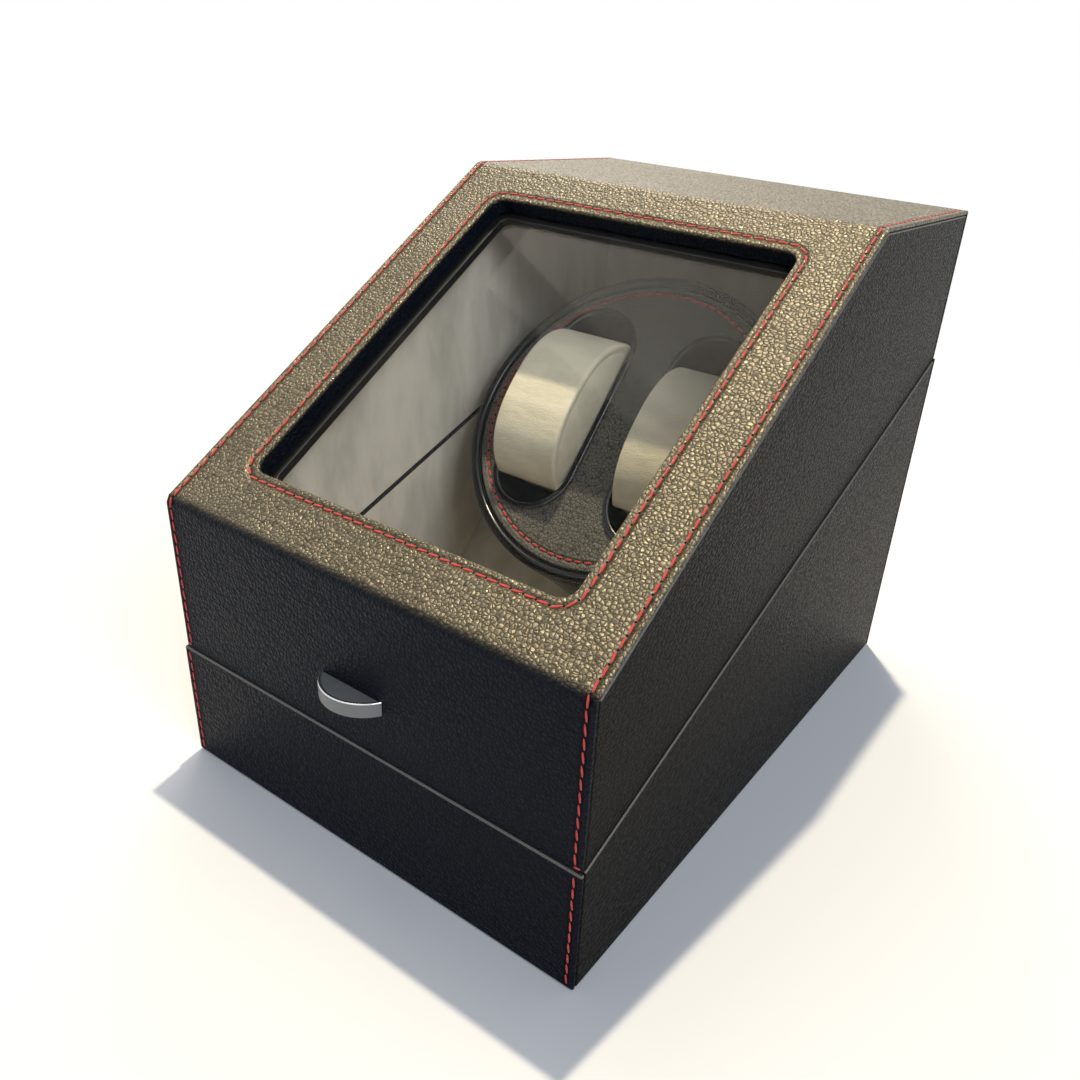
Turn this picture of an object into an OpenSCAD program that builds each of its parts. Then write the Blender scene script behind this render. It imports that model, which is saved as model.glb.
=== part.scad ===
// Watch winder box: a leather-covered box with a slanted front and a window in its lid.
// A turntable stands on a slanted panel in the base. It carries two watch pillows in cups
// and is turned by a small gear motor behind the panel.
// Millimetres. X is the width, the front looks toward -Y, and Z = 0 is the surface that it stands on.

/* [Box] */
// Width of the lid
box_w = 170; // [160:1:200]
// Depth of the lid from front to back
box_d = 240; // [235:1:260]
// Height of the whole box
box_h = 200; // [195:1:220]
// Height of the upright front face
front_h = 102; // [98:1:108]
// Depth of the flat top
top_d = 92; // [86:1:100]
// Height of the split between base and lid at the front
split_front = 45.5; // [42:0.5:52]
// Height of the split between base and lid at the back
split_back = 141.5; // [138:0.5:146]
// Gap between the closed lid and the base, measured upright
split_gap = 0.4; // [0.2:0.1:0.8]
// How far the base stands proud of the lid at the front and the sides
base_ledge = 0.7; // [0:0.1:1.5]

/* [Walls] */
// Thickness of the leather covers
leather_t = 1.2; // [0.8:0.1:1.6]
// Thickness of the boards
board_t = 7; // [6:0.5:9]
// Thickness of the velvet linings
lining_t = 1.8; // [1:0.1:2.4]
// Thickness of the felt under the base
felt_t = 1.5; // [1:0.1:3]
// How far the leather covers of the base end above the standing surface
cover_lift = 0.6; // [0.3:0.1:0.9]
// Groove round each side cover
groove = 0.4; // [0.2:0.1:0.8]

/* [Window] */
// Width of the window opening
window_w = 126; // [110:1:130]
// Length of the window opening along the slope
window_l = 139; // [120:1:142]
// Distance from the front crease to the window opening, along the slope
window_low = 21; // [18:0.5:24]
// Corner radius of the window opening
window_r = 5; // [3:0.5:10]
// Thickness of the leather that is turned into the opening
reveal_t = 1; // [0.6:0.1:1.4]
// Thickness of the glass
glass_t = 2; // [1.5:0.5:3]
// How far the glass reaches under the board on each side
glass_lap = 5; // [3:0.5:6]
// Thickness of the inner frame
frame_t = 3; // [2:0.5:4]
// How far the inner frame shows inside the opening
frame_lip = 2; // [1:0.5:4]

/* [Lift tab] */
// Radius of the half-moon tab
tab_r = 15; // [12:0.5:18]
// How far the tab stands out from the front
tab_out = 7.6; // [5:0.1:10]
// Thickness of the tab
tab_t = 5.1; // [4:0.1:7]
// Height of the tab's upper face
tab_top = 66.7; // [62:0.1:75]
// Place of the tab across the front
tab_x = -2; // [-5:0.5:5]
// Radius of the tab's two fixing studs
stud_r = 1.5; // [1:0.1:2]
// Spacing of the tab's two fixing studs
stud_gap = 14; // [10:1:18]

/* [Turntable] */
// Distance from the box's middle back to the centre of the turntable's face
table_y = 15.5; // [12:0.5:18]
// Height of the centre of the turntable's face
table_z = 116; // [114:0.5:120]
// Slant of the turntable's face from the level
table_tilt = 48.4; // [46:0.1:51]
// Outer radius of the glossy rim
rim_r = 65.5; // [63:0.5:67]
// Width of the rim's rounded top
rim_w = 4.5; // [4:0.1:6]
// Height of the rim's outer band
rim_h = 6; // [5:0.5:9]
// Depth of the drum from the face to its back
drum_depth = 46; // [44:0.5:47]
// Wall of the drum
drum_wall = 2.5; // [2:0.1:3.5]
// Thickness of the drum's back
drum_back = 3; // [2.5:0.5:5]
// Thickness of the leather-covered face
face_t = 3; // [2.5:0.1:4]
// Distance of each cup from the turntable's middle
cup_x = 26.5; // [24:0.5:28]
// Half the inner width of a cup
cup_half_w = 16; // [15.5:0.5:16.5]
// Half the inner length of a cup
cup_half_l = 43; // [40:0.5:44]
// Wall of a cup
cup_wall = 1.2; // [1:0.1:1.6]
// Width of a cup's lip beyond its wall
cup_lip_w = 1.2; // [0.8:0.1:1.6]
// Height of a cup's lip above the face
cup_lip_h = 1.2; // [0.8:0.1:2]

/* [Watch pillows] */
// Room between a pillow's side and its cup
pillow_side_gap = 1; // [0.5:0.1:2]
// Room between a pillow's end and its cup, for the watch strap
pillow_end_gap = 7; // [6.5:0.5:10]
// Rounding of a pillow's edges
pillow_round = 5; // [4:0.5:7]
// How far a pillow stands above the turntable's face
pillow_rise = 21; // [16:0.5:26]
// Squareness of a pillow's oval, where 2 is an ellipse
pillow_power = 2.3; // [2:0.1:3]

/* [Drive] */
// Distance from the turntable's face to the slanted panel behind it
panel_drop = 50; // [49:0.5:54]
// Radius of the turntable's shaft
shaft_r = 4; // [3:0.5:5]
// Radius of the flange on the turntable's shaft
flange_r = 12; // [10:0.5:14]
// Wall of the bush that carries the shaft
bush_wall = 3; // [2.5:0.5:4]
// How far the bush reaches behind the panel
bush_tail = 4; // [3.5:0.5:6]
// Teeth of the gear on the turntable's shaft
gear_teeth = 36; // [34:1:38]
// Teeth of the motor's pinion
pinion_teeth = 12; // [11:1:14]
// Tooth module of both gears
gear_module = 1.25; // [1.2:0.05:1.3]
// Width of both gears
gear_w = 6; // [4:0.5:7]
// Play between the teeth, along the pitch circle
backlash = 0.3; // [0.2:0.05:0.4]
// Radius of the pinion's shaft
pinion_shaft_r = 2.5; // [2:0.1:3]
// Thickness of the motor bracket's sheet
bracket_t = 1.5; // [1:0.1:2.5]
// Radius of the gearbox
gearbox_r = 18; // [16:0.5:20]
// Length of the gearbox
gearbox_l = 14; // [12:0.5:16]
// Radius of the motor
motor_r = 13.5; // [11:0.5:14]
// Length of the motor
motor_l = 20; // [16:0.5:21]

/* [Rear controls] */
// Width of the control plate
plate_w = 96; // [92:1:104]
// Height of the control plate
plate_h = 34; // [32:1:40]
// Thickness of the control plate
plate_t = 1.6; // [1.2:0.1:2.4]
// Height of the control plate's middle
plate_z = 62; // [60:1:66]
// Width of the border by which the plate overlaps its cut-out
plate_border = 7; // [7:0.5:8]
// Distance between neighbouring controls
control_gap = 28; // [24:1:30]
// Radius of the mode knob
knob_r = 7; // [6:0.5:9]
// Height of the mode knob
knob_h = 9; // [7:0.5:14]
// Angle that the rocker leans from its middle
rocker_tilt = 10; // [6:1:11]
// Radius of the power inlet's socket
inlet_r = 2.75; // [2.5:0.05:3]

/* [Hinges] */
// Distance of each hinge from the middle
hinge_x = 50; // [40:1:60]
// Width of a hinge
hinge_w = 28; // [24:1:36]
// Height of a hinge leaf, from the pin
leaf_h = 14; // [12:0.5:18]
// Thickness of a hinge leaf
leaf_t = 1.2; // [1:0.1:1.5]
// Radius of a hinge barrel
barrel_r = 2.4; // [2.2:0.1:3]
// Radius of a hinge pin
pin_r = 1.2; // [1:0.1:1.4]

/* [Fits] */
// Running clearance of shafts and pins in their bores
running_fit = 0.05; // [0.02:0.01:0.1]
// Clearance between fixed pieces that slip together
slip_fit = 0.1; // [0.05:0.05:0.2]
// Clearance between faces that move past each other
face_gap = 0.3; // [0.2:0.05:0.5]

/* [Hidden] */
$fn = 96;
far = 2 * (box_w + box_d + box_h);
half_w = box_w / 2;
half_d = box_d / 2;
base_half_w = half_w + base_ledge;
base_front = -half_d - base_ledge;

// Distances inward from the outside of the lid
board_in = leather_t + board_t;
wall_in = board_in + lining_t;
inner_w = 2 * (half_w - board_in);
lined_w = 2 * (half_w - wall_in);
floor_z = felt_t + board_t;

// Split and slope
split_a = atan2(split_back - split_front, box_d);
slope_a = atan2(box_h - front_h, box_d - top_d);
function base_z(y) = split_front + (y + half_d) * tan(split_a);
function lid_z(y) = base_z(y) + split_gap;
function slope_z(y, in) = front_h + (y + half_d) * tan(slope_a) - in / cos(slope_a);
function slope_y(z, in) = (z - front_h + in / cos(slope_a)) / tan(slope_a) - half_d;

// Closed outline of the lid, moved inward by one distance
function lid_outline(in) = [
    [-half_d + in, lid_z(-half_d + in)], [half_d - in, lid_z(half_d - in)], [half_d - in, box_h - in],
    [slope_y(box_h - in, in), box_h - in], [-half_d + in, slope_z(-half_d + in, in)]
];
// Closed outline of the base between two places along Y, above one height
function base_outline(front, back, low) = [
    [front, low], [back, low], [back, base_z(back)], [front, base_z(front)]
];

module along_x(w) rotate([90, 0, 90]) linear_extrude(height = w, center = true) children();
module both_sides(in, out) for (side = [-1, 1])
    translate([side * (in + out) / 2, 0, 0]) along_x(out - in) children();
module on_slope() translate([0, -half_d, front_h]) rotate([slope_a, 0, 0]) children();
module on_split() translate([0, -half_d, split_front]) rotate([split_a, 0, 0]) children();
module on_table() translate([0, table_y, table_z]) rotate([table_tilt, 0, 0]) children();
module block(x, y, z) translate([x[0], y[0], z[0]]) cube([x[1] - x[0], y[1] - y[0], z[1] - z[0]]);
module disc(r, z) translate([0, 0, z[0]]) cylinder(r = r, h = z[1] - z[0]);
module along_y(r, y) translate([0, y[1], 0]) rotate([90, 0, 0]) cylinder(r = r, h = y[1] - y[0]);

// Block with round upright corners, centred on the window
module window_block(grow, z) on_slope() translate([0, window_low + window_l / 2, 0]) {
    w = window_w / 2 + grow;
    l = window_l / 2 + grow;
    r = max(window_r + grow, 1);
    block([-w, w], [r - l, l - r], z);
    block([r - w, w - r], [-l, l], z);
    for (x = [r - w, w - r], y = [r - l, l - r]) translate([x, y, 0]) disc(r, z);
}

// Magnets in the front boards, square to the split
magnet_r = 2;
magnet_l = 3;
magnet_x = 58;
magnet_y = (leather_t + board_t / 2) / cos(split_a);
lid_face = split_gap * cos(split_a);
module magnets(z) on_split() for (x = [-magnet_x, magnet_x])
    translate([x, magnet_y, 0]) disc(magnet_r, z);

// Small screws
screw_r = 1.3;
screw_head_r = 2.6;
screw_head_h = 1.2;
hinge_screw_l = 8;
drive_screw_l = 5;
plate_screw_l = 9;

// Hinges
barrel_gap = 0.2;
hinge_y = half_d + barrel_r + barrel_gap;
hinge_z = (base_z(half_d) + lid_z(half_d)) / 2;
knuckle_w = hinge_w * 0.42;
hinge_screw_x = hinge_w * 0.29;
hinge_screw_z = leaf_h * 0.64;
module at_hinges() for (x = [-hinge_x, hinge_x]) translate([x, 0, 0]) children();
module hinge_screw_places(up) at_hinges() for (x = [-hinge_screw_x, hinge_screw_x])
    translate([x, half_d + leaf_t, hinge_z + up * hinge_screw_z]) children();
module countersunk_screw(l, grow = 0) {
    rotate([90, 0, 0]) cylinder(r = screw_r + grow, h = l);
    rotate([90, 0, 0]) cylinder(r1 = screw_head_r + grow, r2 = screw_r + grow, h = min(leaf_t, screw_head_h));
}
module barrel(x0, x1, r) translate([x0, hinge_y, hinge_z]) rotate([0, 90, 0]) cylinder(r = r, h = x1 - x0);
module hinge_leaf(up) {
    knuckles = up < 0 ? [[-knuckle_w / 2, knuckle_w / 2]]
        : [[-hinge_w / 2, -knuckle_w / 2 - face_gap], [knuckle_w / 2 + face_gap, hinge_w / 2]];
    z_far = hinge_z + up * leaf_h;
    z_near = hinge_z + up * (barrel_r + face_gap);
    leaf_y = [half_d, half_d + leaf_t];
    difference() {
        union() {
            block([-hinge_w / 2, hinge_w / 2], leaf_y, [min(z_far, z_near), max(z_far, z_near)]);
            for (k = knuckles) {
                block(k, leaf_y, [min(hinge_z, z_near), max(hinge_z, z_near)]);
                barrel(k[0], k[1], barrel_r);
            }
        }
        for (k = knuckles) barrel(k[0] - 1, k[1] + 1, pin_r + running_fit);
    }
}

// Turntable levels, measured along the turntable's axis from its face
gearbox_wall = 4;
panel_face = -panel_drop;
panel_front = panel_face - lining_t;
panel_back = panel_front - board_t;
bush_flange_t = 1.4;
bush_front = panel_face + bush_flange_t;
flange_back = bush_front + face_gap;
bush_r = shaft_r + bush_wall;
bush_flange_r = bush_r + 3;
bush_back = panel_back - bush_tail;
nut_t = 3;
gear_front = bush_back - face_gap;
gear_back = gear_front - gear_w;
gear_hub_wall = 4;
gear_hub_r = shaft_r + gear_hub_wall;
clip_t = 1;
clip_groove = 0.6;
clip_r = shaft_r + 3;
shaft_tail = 1.4;
shaft_end_gap = 0.5;
shaft_back = gear_back - clip_t - shaft_tail;
bracket_front = shaft_back - shaft_end_gap;
bracket_back = bracket_front - bracket_t;
gearbox_back = bracket_back - gearbox_l;
pinion_end = gearbox_back + gearbox_wall;
motor_back = gearbox_back - motor_l;
gear_r = gear_teeth * gear_module / 2;
pinion_r = pinion_teeth * gear_module / 2;
pinion_y = -gear_r - pinion_r;
addendum = 0.8 * gear_module;
dedendum = 1.1 * gear_module;
boss_r = pinion_shaft_r + 3.5;
bracket_half_w = gear_r + addendum + 4;
bracket_foot = 10;
bracket_below = 24;
bracket_above = 20;
bracket_y = [pinion_y - bracket_below, pinion_y + bracket_above];
bracket_screw_in = 8;
bracket_screw_y = [bracket_y[0] + bracket_screw_in, bracket_y[1] - bracket_screw_in];
bracket_screw_x = bracket_half_w + bracket_foot / 2;
gearbox_screw_x = 11;
gearbox_screw_drop = 9;
gearbox_screw_y = pinion_y - gearbox_screw_drop;
rocker_root = 3;
rocker_root_half = 4;
rocker_waist = 3.2;
rocker_tip = 4.4;
terminal_x = 7;
terminal_half = [0.4, 1.4];
terminal_l = 3;

// Drum
rim_overhang = 0.8;
rim_slip = 0.2;
shell_r = rim_r - rim_overhang;
face_r = rim_r - rim_w - rim_slip;
ledge_in = 3.5;
ledge_t = 2.5;
skirt_h = 6;
cup_floor = drum_back - drum_depth + cup_wall;
module stadium(half_wide, half_long, z) {
    straight = half_long - half_wide;
    block([-half_wide, half_wide], [-straight, straight], z);
    for (y = [-straight, straight]) translate([0, y, 0]) disc(half_wide, z);
}
module at_cups() for (x = [-cup_x, cup_x]) translate([x, 0, 0]) children();

// Pillow oval in the plane across the turntable's face
pillow_low = cup_floor + face_gap;
pillow_mid = (pillow_rise + pillow_low) / 2;
pillow_half_t = (pillow_rise - pillow_low) / 2;
pillow_half_w = cup_half_w - pillow_side_gap;
pillow_half_l = cup_half_l - pillow_end_gap;
pillow_sides = 40;
function rounded(c, power) = sign(c) * pow(abs(c), 2 / power);
function oval(in) = [for (i = [0 : pillow_sides - 1]) let (a = 360 * i / pillow_sides)
    [(pillow_half_l - in) * rounded(cos(a), pillow_power),
     pillow_mid + (pillow_half_t - in) * rounded(sin(a), pillow_power)]];

// Gear outlines with involute flanks
pressure_a = 20;
function inv_angle(a) = tan(a) * 180 / PI - a;
function half_tooth(r, teeth) = let (pitch = teeth * gear_module / 2, root = pitch * cos(pressure_a))
    90 / teeth - backlash / 4 / pitch * 180 / PI + inv_angle(pressure_a)
    - inv_angle(acos(min(1, root / r)));
function polar(r, a) = [r * cos(a), r * sin(a)];
function gear_outline(teeth) = let (pitch = teeth * gear_module / 2, flank = [
        pitch - dedendum, max(pitch * cos(pressure_a), pitch - dedendum + 0.1), pitch, pitch + addendum / 2,
        pitch + addendum
    ]) [for (i = [0 : teeth - 1]) each concat(
        [for (r = flank) polar(r, 360 * i / teeth - half_tooth(r, teeth))],
        [for (k = [len(flank) - 1 : -1 : 0]) polar(flank[k], 360 * i / teeth + half_tooth(flank[k], teeth))])];

// Rear controls
cut_w = plate_w - 2 * plate_border;
cut_h = plate_h - 2 * plate_border;
plate_face = half_d + plate_t;
plate_screw_x = (plate_w - plate_border) / 2;
plate_screw_z = (plate_h - plate_border) / 2;
knob_shaft_r = 3;
selector_bush_r = 4.5;
selector_w = 17;
selector_depth = 9;
selector_back = half_d - selector_depth;
knob_low = plate_face + 2;
pointer_half_w = 0.5;
pointer_deep = 0.6;
rocker_w = 8;
rocker_half_h = 6.6;
rocker_pin_r = 1.2;
housing_wall = 1.4;
housing_half_w = rocker_w / 2 + face_gap + housing_wall;
housing_half_h = rocker_half_h + 1 + housing_wall;
housing_depth = 15;
bezel = 1.2;
bezel_t = 1.2;
rocker_y = half_d - 0.6;
jack_r = inlet_r + 1.45;
jack_flange_r = jack_r + 1.6;
jack_pin_r = 1.05;
jack_depth = 10;
module at_plate(place) translate([place * control_gap, 0, plate_z]) children();
module plate_screw_places() for (x = [-plate_screw_x, plate_screw_x], z = [-plate_screw_z, plate_screw_z])
    translate([x, 0, plate_z + z]) children();

// Control board
board_w = 70;
board_h = 34;
board_z = 101;
pcb_t = 1.6;
spacer_l = 4.3;
spacer_r = 2.5;
pcb_back = half_d - board_in - spacer_l;
pcb_front = pcb_back - pcb_t;
// Parts on the board: place across and up, width, height and depth
board_parts = [[-18, 0, 12, 12, 1.6], [4, 5, 8, 6, 1.4], [22, -2, 9, 9, 3.6], [4, -8, 10, 5, 3]];
module spacer_places() for (x = [-board_w / 2 + 4, board_w / 2 - 4], z = [4 - board_h / 2, board_h / 2 - 4])
    translate([x, 0, board_z + z]) children();

// ---------------------------------------------------------------- base
module base_floor_board() color("#3a332c")
    block([-inner_w / 2, inner_w / 2], [board_in - half_d, half_d - board_in], [felt_t, floor_z]);
module base_front_board() color("#3a332c") difference() {
    along_x(inner_w) polygon(base_outline(base_front + leather_t, board_in - half_d, felt_t));
    magnets([-magnet_l, 1]);
}
module base_back_board() color("#3a332c") difference() {
    along_x(inner_w) polygon(base_outline(half_d - board_in, half_d - leather_t, felt_t));
    rear_cut();
    hinge_screw_places(-1) countersunk_screw(hinge_screw_l, running_fit);
}
module rear_cut() {
    block([-cut_w / 2, cut_w / 2], [half_d - 2 * board_in, half_d + 1],
        [plate_z - cut_h / 2, plate_z + cut_h / 2]);
    plate_screw_places() along_y(screw_r + running_fit, [plate_face - plate_screw_l, plate_face]);
}
module base_side_boards() color("#3a332c") both_sides(inner_w / 2, base_half_w - leather_t)
    polygon(base_outline(base_front + leather_t, half_d - leather_t, felt_t));
module base_front_cover() color("#15161a") along_x(2 * base_half_w)
    polygon(base_outline(base_front, base_front + leather_t, cover_lift));
module base_back_cover() color("#15161a") difference() {
    along_x(2 * base_half_w) polygon(base_outline(half_d - leather_t, half_d, cover_lift));
    rear_cut();
    hinge_screw_places(-1) countersunk_screw(hinge_screw_l, running_fit);
}
module base_side_covers() color("#15161a") both_sides(base_half_w - leather_t, base_half_w)
    polygon(base_outline(base_front + leather_t + groove, half_d - leather_t - groove, cover_lift));
module underside_felt() color("#1c1c1e") block([leather_t + groove - base_half_w, base_half_w - leather_t - groove],
    [base_front + leather_t + groove, half_d - leather_t - groove], [0, felt_t]);

module ahead_of_panel() on_table() translate([-far / 2, -far / 2, panel_face]) cube(far);
module base_front_lining() color("#77716a") along_x(lined_w)
    polygon(base_outline(board_in - half_d, wall_in - half_d, floor_z));
module base_side_linings() color("#77716a") intersection() {
    both_sides(lined_w / 2, inner_w / 2) polygon(base_outline(board_in - half_d, half_d - board_in, floor_z));
    ahead_of_panel();
}
module base_floor_lining() color("#77716a") intersection() {
    block([-lined_w / 2, lined_w / 2], [wall_in - half_d, half_d - board_in], [floor_z, floor_z + lining_t]);
    ahead_of_panel();
}
module panel_layer(z) difference() {
    intersection() {
        along_x(inner_w) polygon(base_outline(board_in - half_d, half_d - board_in, floor_z));
        on_table() block([-far, far], [-far, far], z);
    }
    on_table() disc(bush_r + running_fit, [z[0] - 1, z[1] + 1]);
}
module turntable_panel() color("#3a332c") difference() {
    panel_layer([panel_back, panel_front]);
    bracket_screw_places() disc(screw_r + running_fit, [-drive_screw_l, 1]);
}
module turntable_panel_lining() color("#77716a") panel_layer([panel_front, panel_face]);

// ---------------------------------------------------------------- drive
module shaft_bush() color("#c9a35a") on_table() difference() {
    union() {
        disc(bush_r, [bush_back, bush_front]);
        disc(bush_flange_r, [panel_face, bush_front]);
    }
    disc(shaft_r + running_fit, [bush_back - 1, bush_front + 1]);
}
module bush_nut() color("#b9bcc0") on_table() difference() {
    translate([0, 0, panel_back - nut_t]) cylinder(r = bush_r + 3, h = nut_t, $fn = 6);
    disc(bush_r + running_fit, [panel_back - nut_t - 1, panel_back + 1]);
}
module bracket_screw_places() on_table() for (x = [-bracket_screw_x, bracket_screw_x], y = bracket_screw_y)
    translate([x, y, panel_back]) mirror([0, 0, 1]) children();
module gearbox_screw_places() on_table() for (x = [-gearbox_screw_x, gearbox_screw_x])
    translate([x, gearbox_screw_y, bracket_back]) children();
module drive_screw() {
    disc(screw_head_r, [bracket_t, bracket_t + screw_head_h]);
    disc(screw_r, [running_fit - drive_screw_l, bracket_t]);
}
module drive_screws() color("#b9bcc0") {
    bracket_screw_places() drive_screw();
    gearbox_screw_places() drive_screw();
}
module motor_bracket() color("#a9acb0") on_table() difference() {
    union() {
        block([-bracket_half_w, bracket_half_w], bracket_y, [bracket_back, bracket_front]);
        for (side = [0, 1]) mirror([side, 0, 0]) {
            block([bracket_half_w - bracket_t, bracket_half_w], bracket_y, [bracket_back, panel_back]);
            block([bracket_half_w - bracket_t, bracket_half_w + bracket_foot], bracket_y,
                [panel_back - bracket_t, panel_back]);
        }
    }
    translate([0, pinion_y, 0]) disc(boss_r + slip_fit, [bracket_back - 1, bracket_front + 1]);
    for (x = [-bracket_screw_x, bracket_screw_x], y = bracket_screw_y)
        translate([x, y, 0]) disc(screw_r + slip_fit, [panel_back - bracket_t - 1, panel_back + 1]);
    for (x = [-gearbox_screw_x, gearbox_screw_x])
        translate([x, gearbox_screw_y, 0]) disc(screw_r + slip_fit, [bracket_back - 1, bracket_front + 1]);
}
module gearbox() color("#c4c6c8") difference() {
    on_table() translate([0, pinion_y, 0]) difference() {
        union() {
            disc(gearbox_r, [gearbox_back, bracket_back]);
            disc(boss_r, [bracket_back, bracket_front]);
        }
        disc(pinion_shaft_r + running_fit, [pinion_end, bracket_front + 1]);
    }
    gearbox_screw_places() disc(screw_r + running_fit, [-drive_screw_l, 1]);
}
module motor_can() color("#9fa2a6") on_table() translate([0, pinion_y, 0]) {
    disc(motor_r, [motor_back, gearbox_back]);
    for (x = [-terminal_x, terminal_x]) translate([x, 0, 0]) block([-terminal_half[0], terminal_half[0]],
        [-terminal_half[1], terminal_half[1]], [motor_back - terminal_l, motor_back]);
}
module turntable_shaft() color("#b9bcc0") on_table() difference() {
    union() {
        disc(shaft_r, [shaft_back, -drum_depth + drum_back]);
        disc(flange_r, [flange_back, -drum_depth]);
    }
    difference() {
        disc(shaft_r + 1, [gear_back - clip_t, gear_back]);
        disc(shaft_r - clip_groove, [gear_back - clip_t - 1, gear_back + 1]);
    }
}
module driven_gear() color("#e6e2d6") on_table() difference() {
    translate([0, 0, gear_back]) linear_extrude(height = gear_w) polygon(gear_outline(gear_teeth));
    disc(shaft_r + running_fit / 2, [gear_back - 1, gear_front + 1]);
    difference() {
        disc(gear_r - dedendum - 2.5, [gear_front - gear_w / 3, gear_front + 1]);
        disc(gear_hub_r, [gear_back, gear_front + 2]);
    }
}
module shaft_clip() color("#6d6f73") on_table() difference() {
    disc(clip_r, [gear_back - clip_t, gear_back]);
    disc(shaft_r - clip_groove + running_fit, [gear_back - clip_t - 1, gear_back + 1]);
    block([clip_groove - shaft_r, shaft_r - clip_groove], [0, clip_r + 1], [gear_back - clip_t - 1, gear_back + 1]);
}
module motor_pinion() color("#c9a35a") on_table() translate([0, pinion_y, 0]) {
    translate([0, 0, gear_back]) rotate(180 / pinion_teeth) linear_extrude(height = gear_w)
        polygon(gear_outline(pinion_teeth));
    disc(pinion_shaft_r, [pinion_end + face_gap, gear_back]);
}

// ---------------------------------------------------------------- turntable
module drum_shell() color("#0d0d0f") on_table() difference() {
    disc(shell_r, [-drum_depth, -rim_h]);
    disc(shell_r - drum_wall, [drum_back - drum_depth, 1]);
    disc(shaft_r + running_fit / 2, [-drum_depth - 1, drum_back - drum_depth + 1]);
}
module drum_rim() color("#0b0b0d") on_table() rotate_extrude() polygon(concat(
    [[face_r + rim_slip - ledge_in, -face_t], [rim_r - rim_w, -face_t]],
    [for (a = [180 : -15 : 0]) [rim_r - rim_w / 2 + rim_w / 2 * cos(a), rim_w / 2 * sin(a) - rim_w / 4]],
    [[rim_r, -rim_h], [shell_r - drum_wall, -rim_h], [shell_r - drum_wall, -rim_h - skirt_h],
     [shell_r - 2 * drum_wall, -rim_h - skirt_h], [shell_r - 2 * drum_wall, -face_t - ledge_t],
     [face_r + rim_slip - ledge_in, -face_t - ledge_t]]));
module drum_face() color("#17171a") on_table() difference() {
    disc(face_r, [-face_t, 0]);
    at_cups() stadium(cup_half_w + cup_wall + slip_fit, cup_half_l + cup_wall + slip_fit, [-face_t - 1, 1]);
}
module watch_cups() color("#0d0d0f") on_table() at_cups() difference() {
    union() {
        stadium(cup_half_w + cup_wall, cup_half_l + cup_wall, [cup_floor - cup_wall, cup_lip_h]);
        stadium(cup_half_w + cup_wall + cup_lip_w, cup_half_l + cup_wall + cup_lip_w, [0, cup_lip_h]);
    }
    stadium(cup_half_w, cup_half_l, [cup_floor, cup_lip_h + 1]);
}
module pillow(side) on_table() translate([side * cup_x, 0, 0]) hull() for (a = [0 : 30 : 90])
    along_x(2 * (pillow_half_w - pillow_round * (1 - sin(a)))) polygon(oval(pillow_round * (1 - cos(a))));
module pillow_left() color("#aaa398") pillow(-1);
module pillow_right() color("#aaa398") pillow(1);

// ---------------------------------------------------------------- electrics
module control_board() color("#1f5a36") {
    difference() {
        block([-board_w / 2, board_w / 2], [pcb_front, pcb_back], [board_z - board_h / 2, board_z + board_h / 2]);
        spacer_places() along_y(screw_r + slip_fit, [pcb_front - 1, pcb_back + 1]);
    }
    for (part = board_parts) translate([part[0], pcb_front - part[4] / 2, board_z + part[1]])
        cube([part[2], part[4], part[3]], center = true);
}
module board_spacers() color("#d8d8d8") spacer_places() along_y(spacer_r, [pcb_back, half_d - board_in]);
module rear_plate() color("#1b1b1d") difference() {
    block([-plate_w / 2, plate_w / 2], [half_d, plate_face], [plate_z - plate_h / 2, plate_z + plate_h / 2]);
    plate_screw_places() along_y(screw_r + slip_fit, [half_d - 1, plate_face + 1]);
    at_plate(0) along_y(selector_bush_r + slip_fit, [half_d - 1, plate_face + 1]);
    at_plate(1) along_y(jack_r + slip_fit, [half_d - 1, plate_face + 1]);
    at_plate(-1) block([-housing_half_w - slip_fit, housing_half_w + slip_fit], [half_d - 1, plate_face + 1],
        [-housing_half_h - slip_fit, housing_half_h + slip_fit]);
}
module rear_plate_screws() color("#8e9094") plate_screw_places() {
    along_y(screw_r, [plate_face - plate_screw_l + running_fit, plate_face]);
    along_y(screw_head_r, [plate_face, plate_face + screw_head_h]);
}
module dc_jack() color("#111113") at_plate(1) {
    difference() {
        union() {
            along_y(jack_r, [plate_face - jack_depth - 2, plate_face]);
            along_y(jack_flange_r, [plate_face, plate_face + bezel_t]);
            along_y(jack_flange_r, [half_d - 2, half_d]);
        }
        along_y(inlet_r, [plate_face - jack_depth, plate_face + bezel_t + 1]);
    }
    along_y(jack_pin_r, [plate_face - jack_depth, plate_face]);
}
module selector_body() color("#3b6ea5") at_plate(0) difference() {
    union() {
        block([-selector_w / 2, selector_w / 2], [selector_back - 4, half_d - 2], [-selector_w / 2, selector_w / 2]);
        along_y(selector_bush_r, [half_d - 2, knob_low - face_gap]);
    }
    along_y(knob_shaft_r + running_fit, [selector_back, knob_low]);
}
module mode_knob() color("#141416") at_plate(0) {
    difference() {
        along_y(knob_r, [knob_low, knob_low + knob_h]);
        block([-pointer_half_w, pointer_half_w], [knob_low + knob_h - pointer_deep, knob_low + knob_h + 1],
            [1, knob_r + 1]);
    }
    along_y(knob_shaft_r, [selector_back + face_gap, knob_low]);
}
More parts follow.
